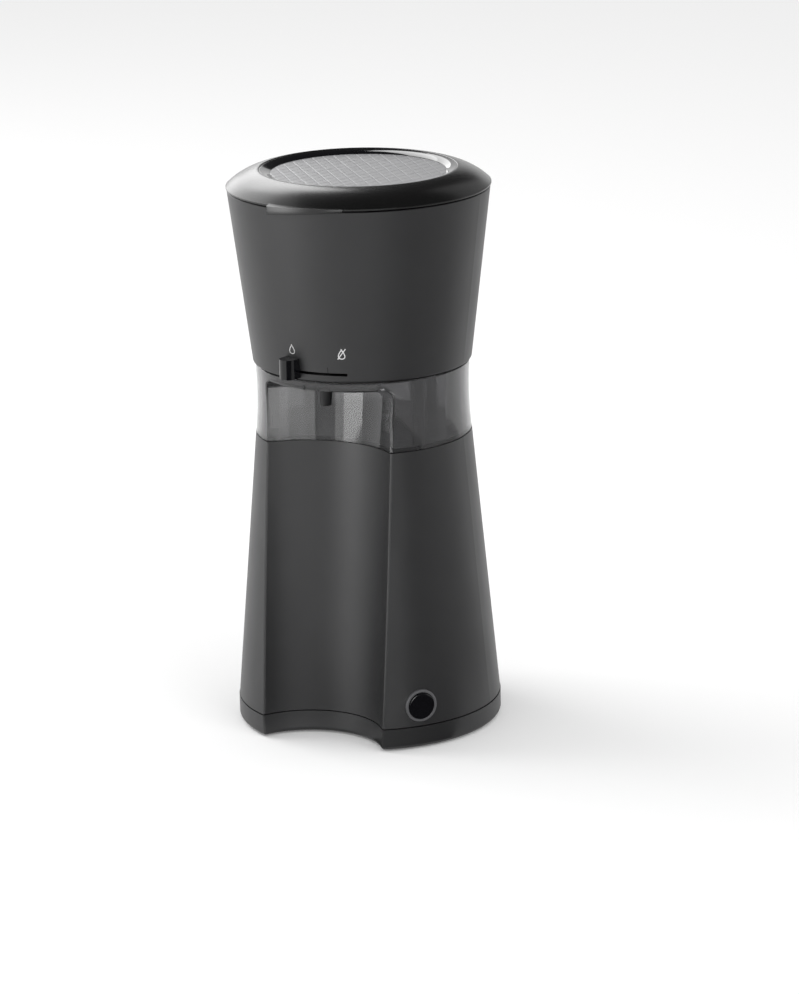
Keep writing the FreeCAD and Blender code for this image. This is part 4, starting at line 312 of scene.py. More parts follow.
class CoffeeMakerSizes(bpy.types.PropertyGroup):
    """Sizes of the modelled detail"""

    turn_steps: IntProperty(
        name="Turning steps", description="Facets round a turned piece", default=128, min=24, max=256)
    hatch_pitch: FloatProperty(
        name="Hatch pitch", description="Distance between the grooves of the lid's disc",
        default=6.47 * MM, min=1.0 * MM, unit="LENGTH")
    hatch_half_angle: FloatProperty(
        name="Hatch half angle", description="Half of the angle between the two families of grooves",
        default=math.radians(29.4), min=math.radians(10.0), max=math.radians(80.0), subtype="ANGLE")
    hatch_turn: FloatProperty(
        name="Hatch turn", description="Turn of the hatch on the disc",
        default=math.radians(8.2), subtype="ANGLE")
    hatch_groove: FloatProperty(
        name="Hatch groove", description="Width of a groove in the lid's disc",
        default=1.5 * MM, min=0.1 * MM, unit="LENGTH")
    hatch_relief: FloatProperty(
        name="Hatch relief", description="Height of the pads between the grooves",
        default=0.08 * MM, min=0.0, unit="LENGTH")
    icon_height: FloatProperty(
        name="Icon height", description="Height of the drop icons",
        default=6.1 * MM, min=1.0 * MM, unit="LENGTH")
    icon_line: FloatProperty(
        name="Icon line", description="Line width of the icons",
        default=0.5 * MM, min=0.1 * MM, unit="LENGTH")
    icon_raise: FloatProperty(
        name="Icon thickness", description="How far the icons' ink stands on the head",
        default=0.06 * MM, min=0.01 * MM, unit="LENGTH")
    mesh_pitch: FloatProperty(
        name="Filter mesh pitch", description="Distance between the threads of the filter's mesh",
        default=1.8 * MM, min=0.8 * MM, unit="LENGTH")
    mesh_thread: FloatProperty(
        name="Filter thread", description="Thickness of the threads of the filter's mesh",
        default=0.28 * MM, min=0.05 * MM, unit="LENGTH")


class CoffeeMakerColours(bpy.types.PropertyGroup):
    """Colours of the finishes"""

    charcoal: FloatVectorProperty(
        name="Charcoal", description="Matt shell of the column and head",
        default=(0.016, 0.016, 0.017), subtype="COLOR", min=0.0, max=1.0)
    satin_black: FloatVectorProperty(
        name="Satin black", description="Dome of the lid",
        default=(0.006, 0.006, 0.006), subtype="COLOR", min=0.0, max=1.0)
    gloss_black: FloatVectorProperty(
        name="Gloss black", description="Knob, bevel ring, button and cable entry",
        default=(0.003, 0.003, 0.004), subtype="COLOR", min=0.0, max=1.0)
    smoke: FloatVectorProperty(
        name="Smoke tint", description="Clear plastic of the water tank",
        default=(0.27, 0.27, 0.276), subtype="COLOR", min=0.0, max=1.0)
    panel_pad: FloatVectorProperty(
        name="Disc pads", description="Pads of the lid's disc",
        default=(0.26, 0.26, 0.268), subtype="COLOR", min=0.0, max=1.0)
    panel_groove: FloatVectorProperty(
        name="Disc grooves", description="Grooves of the lid's disc",
        default=(0.24, 0.24, 0.247), subtype="COLOR", min=0.0, max=1.0)
    icon: FloatVectorProperty(
        name="Icons", description="Printed drop icons",
        default=(0.75, 0.75, 0.75), subtype="COLOR", min=0.0, max=1.0)


# Helpers for modelling with operators

def deselect():
    bpy.ops.object.select_all(action="DESELECT")


def choose(obj):
    """Make one object the only one selected, and active."""
    deselect()
    obj.select_set(True)
    bpy.context.view_layer.objects.active = obj


def edit(obj, kind="FACE"):
    """Enter edit mode on one object with nothing selected."""
    choose(obj)
    bpy.ops.object.mode_set(mode="EDIT")
    bpy.ops.mesh.select_mode(type=kind)
    bpy.ops.mesh.select_all(action="DESELECT")


def leave_edit():
    bpy.ops.object.mode_set(mode="OBJECT")


def pick_all():
    """In edit mode, select the whole mesh."""
    bpy.ops.mesh.select_all(action="SELECT")


def pick(obj, kind, test):
    """In edit mode, select the faces, edges or points that pass a test on their middle, in millimetres."""
    bpy.ops.mesh.select_mode(type={"faces": "FACE", "edges": "EDGE", "verts": "VERT"}[kind])
    bpy.ops.mesh.select_all(action="DESELECT")
    mesh = bmesh.from_edit_mesh(obj.data)
    for item in getattr(mesh, kind):
        if kind == "faces":
            middle = item.calc_center_median()
        elif kind == "edges":
            middle = (item.verts[0].co + item.verts[1].co) / 2
        else:
            middle = item.co
        if test(middle / MM, item):
            item.select_set(True)
    mesh.select_flush_mode()
    bmesh.update_edit_mesh(obj.data)


def modify(obj, kind, **settings):
    """Add a modifier with these settings and apply it."""
    choose(obj)
    modifier = obj.modifiers.new(kind.title(), kind)
    for key, value in settings.items():
        setattr(modifier, key, value)
    bpy.ops.object.modifier_apply(modifier=modifier.name)


def soften(obj, width, segments=3, angle=32.0):
    """Round the sharp edges."""
    modify(obj, "BEVEL", width=width, segments=segments, limit_method="ANGLE",
           angle_limit=math.radians(angle), use_clamp_overlap=True)


def combine(obj, other, operation):
    """Join, cut or keep what two closed shapes share, and delete the second."""
    modify(obj, "BOOLEAN", operation=operation, object=other, solver="EXACT")
    choose(other)
    bpy.ops.object.delete()


def turned(outline, steps, angle=360.0, centre=(0.0, 0.0), closed=False):
    """Spin an outline of (radius, height) points about an upright axis; an open one starts and ends on it."""
    deselect()
    bpy.ops.mesh.primitive_circle_add(vertices=len(outline), radius=outline[0][0] * MM + MM)
    obj = bpy.context.object
    for point, (radius, height) in zip(obj.data.vertices, outline):
        point.co = (centre[0] * MM, (centre[1] - radius) * MM, height * MM)
    edit(obj, "EDGE")
    if not closed:
        count = len(outline)
        pick(obj, "edges", lambda middle, edge: {v.index for v in edge.verts} == {0, count - 1})
        bpy.ops.mesh.delete(type="EDGE")
    pick_all()
    bpy.ops.mesh.spin(steps=steps, angle=math.radians(angle), axis=(0.0, 0.0, 1.0),
                      center=(centre[0] * MM, centre[1] * MM, 0.0))
    pick_all()
    bpy.ops.mesh.remove_doubles(threshold=0.002 * MM)
    if angle < 360.0:
        bpy.ops.mesh.select_all(action="DESELECT")
        bpy.ops.mesh.select_non_manifold()
        bpy.ops.mesh.fill_holes(sides=0)
        pick_all()
    bpy.ops.mesh.normals_make_consistent(inside=False)
    leave_edit()
    return obj


def disc_rod(radius, length, place, along="Z", vertices=SMALL_STEPS):
    """Cylinder from a place along an axis, in millimetres."""
    turn = {"X": (0.0, math.pi / 2, 0.0), "Y": (-math.pi / 2, 0.0, 0.0), "Z": (0.0, 0.0, 0.0)}[along]
    shift = {"X": (length / 2, 0.0, 0.0), "Y": (0.0, length / 2, 0.0), "Z": (0.0, 0.0, length / 2)}[along]
    middle = Vector(place) + Vector(shift)
    deselect()
    bpy.ops.mesh.primitive_cylinder_add(vertices=vertices, radius=radius * MM, depth=length * MM,
                                        location=middle * MM, rotation=turn)
    settle(bpy.context.object)
    return bpy.context.object


def block(x0, x1, y0, y1, z0, z1):
    """Box between two corners, in millimetres."""
    deselect()
    middle = Vector((x0 + x1, y0 + y1, z0 + z1)) * MM / 2
    bpy.ops.mesh.primitive_cube_add(size=1.0, location=middle)
    obj = bpy.context.object
    obj.scale = Vector((x1 - x0, y1 - y0, z1 - z0)) * MM
    settle(obj)
    return obj


def settle(obj):
    """Bring an object's place, turn and scale into its mesh."""
    choose(obj)
    bpy.ops.object.transform_apply(location=True, rotation=True, scale=True)


def swing(obj, azimuth):
    """Turn a piece made at the front round to an azimuth."""
    obj.rotation_euler = (0.0, 0.0, math.radians(azimuth))
    settle(obj)


def face_outwards(obj, azimuth, height):
    """Turn a piece made upright on the axis so that its top looks out at an azimuth, at a height."""
    obj.rotation_euler = (math.radians(90.0), 0.0, math.radians(azimuth))
    obj.location = (0.0, 0.0, height * MM)
    settle(obj)


def duplicate(obj):
    """Copy with its own mesh."""
    choose(obj)
    bpy.ops.object.duplicate(linked=False)
    return bpy.context.object


def finish_piece(obj, name, body, slot, nodes=(), smooth_angle=35.0):
    """Name, smooth, paint and hang a finished piece on its body."""
    settle(obj)
    bpy.ops.object.shade_smooth_by_angle(angle=math.radians(smooth_angle))
    obj.name = name
    obj.data.name = name
    if not obj.data.materials:
        obj.data.materials.append(finish(slot))
    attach(obj, body)
    if nodes:
        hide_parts(*nodes)
    return obj


def arc_through(start, middle, end, count):
    """Points along the circle through three (radius, height) points, from start to end."""
    (ax, ay), (bx, by), (cx, cy) = start, middle, end
    d = 2 * (ax * (by - cy) + bx * (cy - ay) + cx * (ay - by))
    a2, b2, c2 = ax * ax + ay * ay, bx * bx + by * by, cx * cx + cy * cy
    ux = (a2 * (by - cy) + b2 * (cy - ay) + c2 * (ay - by)) / d
    uy = (a2 * (cx - bx) + b2 * (ax - cx) + c2 * (bx - ax)) / d
    radius = math.hypot(ax - ux, ay - uy)
    first = math.atan2(ay - uy, ax - ux)
    last = math.atan2(cy - uy, cx - ux)
    return [
        (ux + radius * math.cos(first + (last - first) * i / count),
         uy + radius * math.sin(first + (last - first) * i / count))
        for i in range(count + 1)
    ]


def head_r(z):
    """Outer radius of the head at a height."""
    share = (z - HEAD_BOTTOM_Z) / (HEAD_TOP_Z - HEAD_BOTTOM_Z)
    return HEAD_BOTTOM_R + (HEAD_TOP_R - HEAD_BOTTOM_R) * share


# Finishes

def preset(node, **values):
    """Set a node's inputs; an underscore in a name stands for a space."""
    for name, value in values.items():
        node.inputs[name.replace("_", " ")].default_value = value


def new_material(name):
    """A material with its nodes, its links and its surface shader."""
    material = bpy.data.materials.new(name)
    material.use_nodes = True
    nodes = material.node_tree.nodes
    return material, nodes, material.node_tree.links, nodes["Principled BSDF"]


def grain_group():
    """Moulded or brushed grain: a height for bump, and a roughness that wanders a little."""
    name = "Surface grain"
    if name in bpy.data.node_groups:
        return bpy.data.node_groups[name]
    group = bpy.data.node_groups.new(name, "ShaderNodeTree")
    for label, default in (("Grain per metre", 3000.0), ("Roughness", 0.4), ("Roughness spread", 0.04)):
        socket = group.interface.new_socket(label, in_out="INPUT", socket_type="NodeSocketFloat")
        socket.default_value = default
    stretch = group.interface.new_socket("Stretch", in_out="INPUT", socket_type="NodeSocketVector")
    stretch.default_value = (1.0, 1.0, 1.0)
    group.interface.new_socket("Height", in_out="OUTPUT", socket_type="NodeSocketFloat")
    group.interface.new_socket("Roughness", in_out="OUTPUT", socket_type="NodeSocketFloat")
    nodes, links = group.nodes, group.links
    inside = nodes.new("NodeGroupInput")
    outside = nodes.new("NodeGroupOutput")
    place = nodes.new("ShaderNodeTexCoord")
    scaled = nodes.new("ShaderNodeVectorMath")
    scaled.operation = "MULTIPLY"
    links.new(place.outputs["Object"], scaled.inputs[0])
    links.new(inside.outputs["Stretch"], scaled.inputs[1])
    fine = nodes.new("ShaderNodeTexNoise")
    preset(fine, Detail=3.0)
    links.new(scaled.outputs["Vector"], fine.inputs["Vector"])
    links.new(inside.outputs["Grain per metre"], fine.inputs["Scale"])
    links.new(fine.outputs["Fac"], outside.inputs["Height"])
    broad = nodes.new("ShaderNodeTexNoise")
    preset(broad, Scale=35.0, Detail=4.0)
    links.new(place.outputs["Object"], broad.inputs["Vector"])
    spread = nodes.new("ShaderNodeMath")
    spread.operation = "MULTIPLY_ADD"
    centred = nodes.new("ShaderNodeMath")
    centred.operation = "SUBTRACT"
    centred.inputs[1].default_value = 0.5
    links.new(broad.outputs["Fac"], centred.inputs[0])
    links.new(centred.outputs["Value"], spread.inputs[0])
    links.new(inside.outputs["Roughness spread"], spread.inputs[1])
    links.new(inside.outputs["Roughness"], spread.inputs[2])
    links.new(spread.outputs["Value"], outside.inputs["Roughness"])
    return group


def add_grain(nodes, links, surface, grain, roughness, spread, stretch, strength, depth):
    """Lead grain, bumps of a depth in millimetres, into a surface shader."""
    group = nodes.new("ShaderNodeGroup")
    group.node_tree = grain_group()
    preset(group, Grain_per_metre=grain, Roughness=roughness, Roughness_spread=spread, Stretch=stretch)
    bump = nodes.new("ShaderNodeBump")
    preset(bump, Strength=strength, Distance=depth * MM)
    links.new(group.outputs["Height"], bump.inputs["Height"])
    links.new(bump.outputs["Normal"], surface.inputs["Normal"])
    links.new(group.outputs["Roughness"], surface.inputs["Roughness"])
    return group


def grained(name, colour, roughness, grain=3000.0, depth=0.02, spread=0.06, stretch=(1.0, 1.0, 1.0),
            tone=0.06, **shader):
    """Opaque finish: grain, and a colour that wanders by tone."""
    material, nodes, links, surface = new_material(name)
    preset(surface, **shader)
    add_grain(nodes, links, surface, grain, roughness, spread, stretch, strength=0.5, depth=depth)
    place = nodes.new("ShaderNodeTexCoord")
    cloud = nodes.new("ShaderNodeTexNoise")
    preset(cloud, Scale=60.0, Detail=5.0)
    links.new(place.outputs["Object"], cloud.inputs["Vector"])
    ramp = nodes.new("ShaderNodeValToRGB")
    for stop, factor in zip(ramp.color_ramp.elements, (1.0 - tone, 1.0 + tone)):
        stop.color = (*[min(1.0, c * factor) for c in colour], 1.0)
    ramp.color_ramp.elements[0].position = 0.3
    ramp.color_ramp.elements[1].position = 0.7
    links.new(cloud.outputs["Fac"], ramp.inputs["Fac"])
    links.new(ramp.outputs["Color"], surface.inputs["Base Color"])
    return material


def clear_plastic(name, colour, roughness):
    """Tinted clear plastic with the faint flow lines of a moulding."""
    material, nodes, links, surface = new_material(name)
    preset(surface, Transmission_Weight=0.9, IOR=1.49)
    group = add_grain(nodes, links, surface, grain=45.0, roughness=roughness, spread=0.03,
                      stretch=(1.0, 1.0, 0.25), strength=0.3, depth=0.03)
    tint = nodes.new("ShaderNodeValToRGB")
    tint.color_ramp.elements[0].color = (*[c * 0.96 for c in colour], 1.0)
    tint.color_ramp.elements[1].color = (*colour, 1.0)
    links.new(group.outputs["Height"], tint.inputs["Fac"])
    links.new(tint.outputs["Color"], surface.inputs["Base Color"])
    return material


# Opaque finish of each slot: name, colour or its name in the panel, roughness, and settings of grained
OPAQUE = {
    "charcoal": ("Charcoal matt", "charcoal", 0.42, {"grain": 2600.0, "spread": 0.08}),
    "satin_black": ("Satin black", "satin_black", 0.25, {"grain": 2600.0, "depth": 0.006}),
    "gloss_black": ("Gloss black", "gloss_black", 0.07, {"grain": 300.0, "depth": 0.01, "spread": 0.05}),
    "black_inner": ("Inner black", (0.006, 0.006, 0.007), 0.4, {"depth": 0.01, "Specular_IOR_Level": 0.35}),
    "pattern_panel": ("Disc pads", "panel_pad", 0.3, {"depth": 0.004}),
    "panel_groove": ("Disc grooves", "panel_groove", 0.36, {"depth": 0.004}),
    "icon": ("Icon ink", "icon", 0.5, {"depth": 0.002, "tone": 0.02}),
    "rubber": ("Rubber", (0.008, 0.008, 0.008), 0.8,
               {"grain": 1800.0, "depth": 0.05, "Specular_IOR_Level": 0.15}),
    "seal": ("Grey silicone", (0.42, 0.42, 0.42), 0.6, {"grain": 1500.0}),
    "silicone": ("Milky silicone", (0.72, 0.72, 0.70), 0.45, {"grain": 900.0, "Subsurface_Weight": 0.2}),
    "nylon_mesh": ("White nylon", (0.78, 0.78, 0.77), 0.5, {"grain": 5000.0}),
    "white_plastic": ("Natural plastic", (0.74, 0.73, 0.70), 0.45, {"depth": 0.01}),
    "steel": ("Plated steel", (0.58, 0.58, 0.57), 0.28,
              {"grain": 900.0, "depth": 0.01, "stretch": (1.0, 1.0, 0.1), "Metallic": 1.0}),
    "cast_aluminium": ("Cast aluminium", (0.55, 0.55, 0.56), 0.5,
                       {"grain": 1200.0, "depth": 0.08, "Metallic": 1.0}),
    "board_green": ("Circuit board", (0.03, 0.16, 0.07), 0.4, {"grain": 700.0, "depth": 0.03}),
    "light_guide": ("Frosted guide", (0.10, 0.10, 0.105), 0.35, {"grain": 1500.0, "depth": 0.01}),
}


def make_finish(slot):
    """A new material for a slot."""
    colours = bpy.context.scene.coffee_colours
    if slot == "smoke":
        return clear_plastic("Smoke clear", colours.smoke, 0.06)
    name, colour, roughness, settings = OPAQUE[slot]
    if isinstance(colour, str):
        colour = getattr(colours, colour)
    return grained(name, colour, roughness, **settings)


FINISHES = {}


def finish(slot):
    """The material for a slot, made on first use."""
    if slot not in FINISHES:
        FINISHES[slot] = make_finish(slot)
    return FINISHES[slot]


class COFFEE_OT_finishes(bpy.types.Operator):
    """Give every CAD node the finish of its slot"""

    bl_idname = "coffee.finishes"
    bl_label = "Finishes of the frame"
    bl_options = {"REGISTER", "UNDO"}

    def execute(self, context):
        for row in frame["record"]["subparts"]:
            node = frame["nodes"][row["node"]]
            node.data.materials.clear()
            node.data.materials.append(finish(row["material_slot"]))
        return {"FINISHED"}


class COFFEE_OT_lid_dome(bpy.types.Operator):
    """Turn the lid's satin dome, with its finger tab at the front and its hinge knuckle at the rear"""

    bl_idname = "coffee.lid_dome"
    bl_label = "Lid dome"
    bl_options = {"REGISTER", "UNDO"}

    def execute(self, context):
        steps = context.scene.coffee_sizes.turn_steps
        slope = math.atan2(LID_SHOULDER_Z - LID_RIM_Z, LID_RIM_R - LID_SHOULDER_R)
        rim_in = (LID_RIM_R - LID_WALL, LID_RIM_Z - LID_WALL * math.tan(slope / 2))
        shoulder_in = (LID_SHOULDER_R - LID_WALL * math.sin(slope),
                       LID_SHOULDER_Z - LID_WALL * math.cos(slope))
        bevel = 0.3 * LID_RIM_EDGE
        outline = [
            (0.0, RECESS_Z - LID_FLOOR_T),
            (RECESS_R, RECESS_Z - LID_FLOOR_T),
            shoulder_in,
            rim_in,
            (rim_in[0], LID_RIM_LOW_Z),
            (LID_RIM_R - LID_RIM_EDGE, LID_RIM_LOW_Z),
            (LID_RIM_R - bevel, LID_RIM_LOW_Z + bevel),
            (LID_RIM_R, LID_RIM_LOW_Z + LID_RIM_EDGE),
        ]
        outline += arc_through((LID_RIM_R, LID_RIM_Z), (LID_SHOULDER_R, LID_SHOULDER_Z),
                               (LID_CREST_R, LID_CREST_Z), LID_DOME_STEPS)
        outline += [
            (RECESS_R + LID_CREST_EDGE, LID_CREST_Z - LID_CREST_EASE),
            (RECESS_R, LID_CREST_Z - LID_CREST_EDGE),
            (RECESS_R, RECESS_Z),
            (0.0, RECESS_Z),
        ]
        dome = turned(outline, steps)
        combine(dome, self.tab(), "UNION")
        combine(dome, self.knuckle(), "UNION")
        for side in (-1, 1):
            start = KNUCKLE_HALF_W if side > 0 else -KNUCKLE_HALF_W - EAR_W - 2 * HINGE_GAP
            ear = disc_rod(HINGE_R + HINGE_GAP, EAR_W + 2 * HINGE_GAP, (start, HINGE_Y, HINGE_Z), "X")
            combine(dome, ear, "DIFFERENCE")
        finish_piece(dome, "lid_dome", "lid", "satin_black", ["lid_cover"])
        return {"FINISHED"}

    def tab(self):
        """The tab laps over the head, stands out most at its left end and fades out at its right end."""
        lean = math.radians(-TAB_AZ - TAB_LEAN)
        centre = (TAB_SHIFT * math.sin(lean), -TAB_SHIFT * math.cos(lean))
        root = LID_RIM_R - LID_WALL / 2
        low = HEAD_TOP_Z - TAB_DROP
        top = LID_RIM_Z + TAB_RISE
        outer = LID_RIM_R + TAB_OUT
        outline = [(root - TAB_SHIFT, low), (outer, low), (outer, top), (root - TAB_SHIFT, top)]
        tab = turned(outline, TAB_STEPS, angle=2 * TAB_AZ, centre=centre, closed=True)
        tab.matrix_world = (Matrix.Translation((centre[0] * MM, centre[1] * MM, 0.0))
                            @ Matrix.Rotation(math.radians(TAB_AZ + TAB_TURN), 4, "Z")
                            @ Matrix.Translation((-centre[0] * MM, -centre[1] * MM, 0.0)))
        settle(tab)
        slope = math.tan(math.radians(TAB_SLOPE))
        under = low - TAB_UNDER
        wide = root + (top - under) / slope
        roof = turned([(0.0, under), (wide, under), (root, top), (0.0, top)], CUTTER_STEPS)
        combine(tab, roof, "INTERSECT")
        lifted = block(0.0, 2 * LID_RIM_R, -2 * LID_RIM_R, 0.0, -LID_RIM_R, 0.0)
        lifted.rotation_euler = (0.0, math.radians(-TAB_LIFT), 0.0)
        lifted.location = (-LID_RIM_R * math.sin(math.radians(TAB_AZ)) * MM, 0.0, low * MM)
        settle(lifted)
        combine(tab, lifted, "DIFFERENCE")
        soften(tab, FINE_ROUND * MM, 3)
        over = LID_RIM_LOW_Z + TAB_SEAM
        room = turned([
            (0.0, under),
            (head_r(under) + TAB_GAP, under),
            (head_r(over) + TAB_GAP, over),
            (root, over),
            (root, LID_CREST_Z),
            (0.0, LID_CREST_Z),
        ], CUTTER_STEPS)
        combine(tab, room, "DIFFERENCE")
        return tab

    def knuckle(self):
        """Hinge barrel with its web up into the rim."""
        barrel = disc_rod(HINGE_R, 2 * KNUCKLE_HALF_W, (-KNUCKLE_HALF_W, HINGE_Y, HINGE_Z), "X")
        web = block(-KNUCKLE_HALF_W, KNUCKLE_HALF_W, LID_RIM_R - WEB_INTO_RIM,
                    HINGE_Y + HINGE_R - WEB_INTO_BARREL, HINGE_Z, LID_RIM_Z + WEB_RISE)
        edit(web, "EDGE")
        pick(web, "edges", lambda middle, edge: middle.z > LID_RIM_Z and middle.y > HINGE_Y + 1.0)
        bpy.ops.mesh.bevel(offset=WEB_ROUND * MM, segments=6, affect="EDGES")
        leave_edit()
        combine(barrel, web, "UNION")
        bore = disc_rod(PIN_BORE_R, 4 * KNUCKLE_HALF_W, (-2 * KNUCKLE_HALF_W, HINGE_Y, HINGE_Z), "X", 32)
        combine(barrel, bore, "DIFFERENCE")
        return barrel


class COFFEE_OT_lid_ring(bpy.types.Operator):
    """Turn the glossy bevel ring inside the lid's crest"""

    bl_idname = "coffee.lid_ring"
    bl_label = "Lid bevel ring"
    bl_options = {"REGISTER", "UNDO"}

    def execute(self, context):
        outline = [
            (RECESS_R, RECESS_Z),
            (RECESS_R, BEVEL_HIGH.z),
            (RECESS_R - BEVEL_TOP_W, BEVEL_HIGH.z),
            (DISC_R, DISC_Z + BEVEL_OVER_DISC),
            (DISC_R, RECESS_Z),
        ]
        ring = turned(outline, context.scene.coffee_sizes.turn_steps, closed=True)
        soften(ring, FINE_ROUND * MM, 3)
        finish_piece(ring, "lid_bevel_ring", "lid", "gloss_black", ["lid_bevel"])
        return {"FINISHED"}


class COFFEE_OT_lid_disc(bpy.types.Operator):
    """Model the lid's disc with its diagonal cross-hatch of grooves"""

    bl_idname = "coffee.lid_disc"
    bl_label = "Hatched lid disc"
    bl_options = {"REGISTER", "UNDO"}

    def execute(self, context):
        sizes = context.scene.coffee_sizes
        count = 2 * math.ceil(HATCH_MARGIN * DISC_R * MM / sizes.hatch_pitch) + 1
        floor_z = DISC_Z * MM - sizes.hatch_relief
        deselect()
        bpy.ops.mesh.primitive_grid_add(x_subdivisions=count, y_subdivisions=count,
                                        size=count * sizes.hatch_pitch, location=(0.0, 0.0, floor_z),
                                        rotation=(0.0, 0.0, math.radians(45.0)))
        disc = bpy.context.object
        settle(disc)
        half_angle = sizes.hatch_half_angle
        disc.scale = (math.sqrt(0.5) / math.cos(half_angle), math.sqrt(0.5) / math.sin(half_angle), 1.0)
        settle(disc)
        disc.rotation_euler = (0.0, 0.0, sizes.hatch_turn)
        settle(disc)
        disc.data.materials.append(finish("panel_groove"))
        disc.data.materials.append(finish("pattern_panel"))
        edit(disc)
        pick_all()
        bpy.ops.mesh.inset(thickness=sizes.hatch_groove / 2, depth=sizes.hatch_relief, use_individual=True)
        disc.active_material_index = 1
        bpy.ops.object.material_slot_assign()
        pick_all()
        depth = DISC_Z - RECESS_Z - sizes.hatch_relief / MM
        bpy.ops.mesh.extrude_region_move(TRANSFORM_OT_translate={"value": (0.0, 0.0, -depth * MM)})
        pick_all()
        bpy.ops.mesh.normals_make_consistent(inside=False)
        leave_edit()
        round_cut = disc_rod(DISC_R - DISC_GAP, DISC_CUTTER_H, (0.0, 0.0, RECESS_Z), "Z", DISC_STEPS)
        combine(disc, round_cut, "INTERSECT")
        finish_piece(disc, "lid_hatched_disc", "lid", "pattern_panel", ["lid_panel"], smooth_angle=5.0)
        return {"FINISHED"}


class COFFEE_OT_knob(bpy.types.Operator):
    """Model the drip stop's round-nosed finger knob, close to the head, with its socket for the arm"""

    bl_idname = "coffee.knob"
    bl_label = "Drip-stop knob"
    bl_options = {"REGISTER", "UNDO"}

    def execute(self, context):
        nose = (0.0, -KNOB_NOSE_R, KNOB_LOW_Z)
        knob = disc_rod(KNOB_HALF_W, KNOB_HIGH_Z - KNOB_LOW_Z, nose, "Z", KNOB_STEPS)
        for point in knob.data.vertices:
            behind = point.co.y / MM + KNOB_NOSE_R
            if behind > KNOB_ON_AXIS:
                side = KNOB_HALF_W if point.co.x > -KNOB_ON_AXIS * MM else -KNOB_HALF_W
                point.co.x, point.co.y = side * MM, (2 * behind - KNOB_NOSE_R) * MM
        soften(knob, KNOB_ROUND * MM, 5, 60.0)
        under, over = KNOB_LOW_Z - KNOB_CUT_PAST, KNOB_HIGH_Z + KNOB_CUT_PAST
        head = turned([
            (0.0, under),
            (head_r(under) + KNOB_GAP, under),
            (head_r(over) + KNOB_GAP, over),
            (0.0, over),
        ], CUTTER_STEPS)
        combine(knob, head, "DIFFERENCE")
        socket = block(-ARM_HALF_W, ARM_HALF_W, -ARM_END_R, -HEAD_BOTTOM_R, ARM_LOW_Z, ARM_HIGH_Z)
        combine(knob, socket, "DIFFERENCE")
        swing(knob, KNOB_AZ)
        finish_piece(knob, "drip_stop_knob", "drip_slider", "gloss_black", ["slider_knob"])
        modify(knob, "WEIGHTED_NORMAL", keep_sharp=True)
        return {"FINISHED"}


class COFFEE_OT_icons(bpy.types.Operator):
    """Lay the drop, the crossed-out drop and the two fine marks on the head and the tank"""

    bl_idname = "coffee.icons"
    bl_label = "Drop icons and marks"
    bl_options = {"REGISTER", "UNDO"}

    def execute(self, context):
        sizes = context.scene.coffee_sizes
        plain = self.drop(sizes)
        plain.scale = DROP_SCALE
        settle(plain)
        self.lay(plain, "icon_drop", "icon", DROP_AZ, DROP_Z, head_r)
        crossed = self.drop(sizes)
        combine(crossed, self.bar(sizes), "UNION")
        crossed.data.validate()
        self.lay(crossed, "icon_drop_crossed", "icon", CROSSED_AZ, CROSSED_Z, head_r)
        self.lay(self.mark(*SLOT_MARK), "slot_mark", "black_inner", SLOT_MARK_AZ, SLOT_MARK_Z, head_r)
        self.lay(self.mark(*TANK_MARK), "tank_mark", "black_inner", TANK_MARK_AZ, TANK_MARK_Z,
                 lambda z: TANK_R)
        return {"FINISHED"}

    def lay(self, mark, name, slot, azimuth, height, radius_at):
        """Lay a flat shape from the XZ plane on a round wall."""
        edit(mark)
        pick_all()
        bpy.ops.mesh.normals_make_consistent(inside=False)
        leave_edit()
        for point in mark.data.vertices:
            z = height + point.co.z / MM
            radius = radius_at(z) - INK_SINK - point.co.y / MM
            angle = math.radians(azimuth) + point.co.x / MM / radius_at(height)
            point.co = Vector((radius * math.sin(angle), -radius * math.cos(angle), z)) * MM
        mark.data.materials.append(finish(slot))
        finish_piece(mark, name, "machine", "white_plastic" if slot == "icon" else slot)

    def drop(self, sizes):
        """Outline of a drop, pointed above and round below, standing in the XZ plane round the origin."""
        deselect()
        bpy.ops.mesh.primitive_circle_add(vertices=DROP_POINTS, radius=1.0, fill_type="NGON")
        drop = bpy.context.object
        half = sizes.icon_height / 2
        for point in drop.data.vertices:
            turn = math.atan2(point.co.x, point.co.y)
            width = DROP_WIDTH * math.sin(turn) * abs(math.sin(turn / 2)) ** DROP_TAPER
            point.co = (half * width, 0.0, half * math.cos(turn))
        edit(drop)
        pick_all()
        bpy.ops.mesh.inset(thickness=sizes.icon_line)
        bpy.ops.mesh.delete(type="FACE")
        pick_all()
        bpy.ops.mesh.extrude_region_move(TRANSFORM_OT_translate={"value": (0.0, -sizes.icon_raise, 0.0)})
        leave_edit()
        return drop

    def bar(self, sizes):
        """Bar across a drop, from its lower left to its upper right, a little thicker than the drop."""
        half = sizes.icon_height * BAR_REACH / MM
        line = sizes.icon_line / MM
        bar = block(-line / 2, line / 2, -sizes.icon_raise / MM - BAR_PROUD, BAR_PROUD, -half, half)
        bar.rotation_euler = (0.0, math.radians(BAR_ANGLE), 0.0)
        settle(bar)
        return bar

    def mark(self, half_width, depth, half_height):
        """Upright line in the XZ plane round the origin."""
        return block(-half_width, half_width, -depth, 0.0, -half_height, half_height)


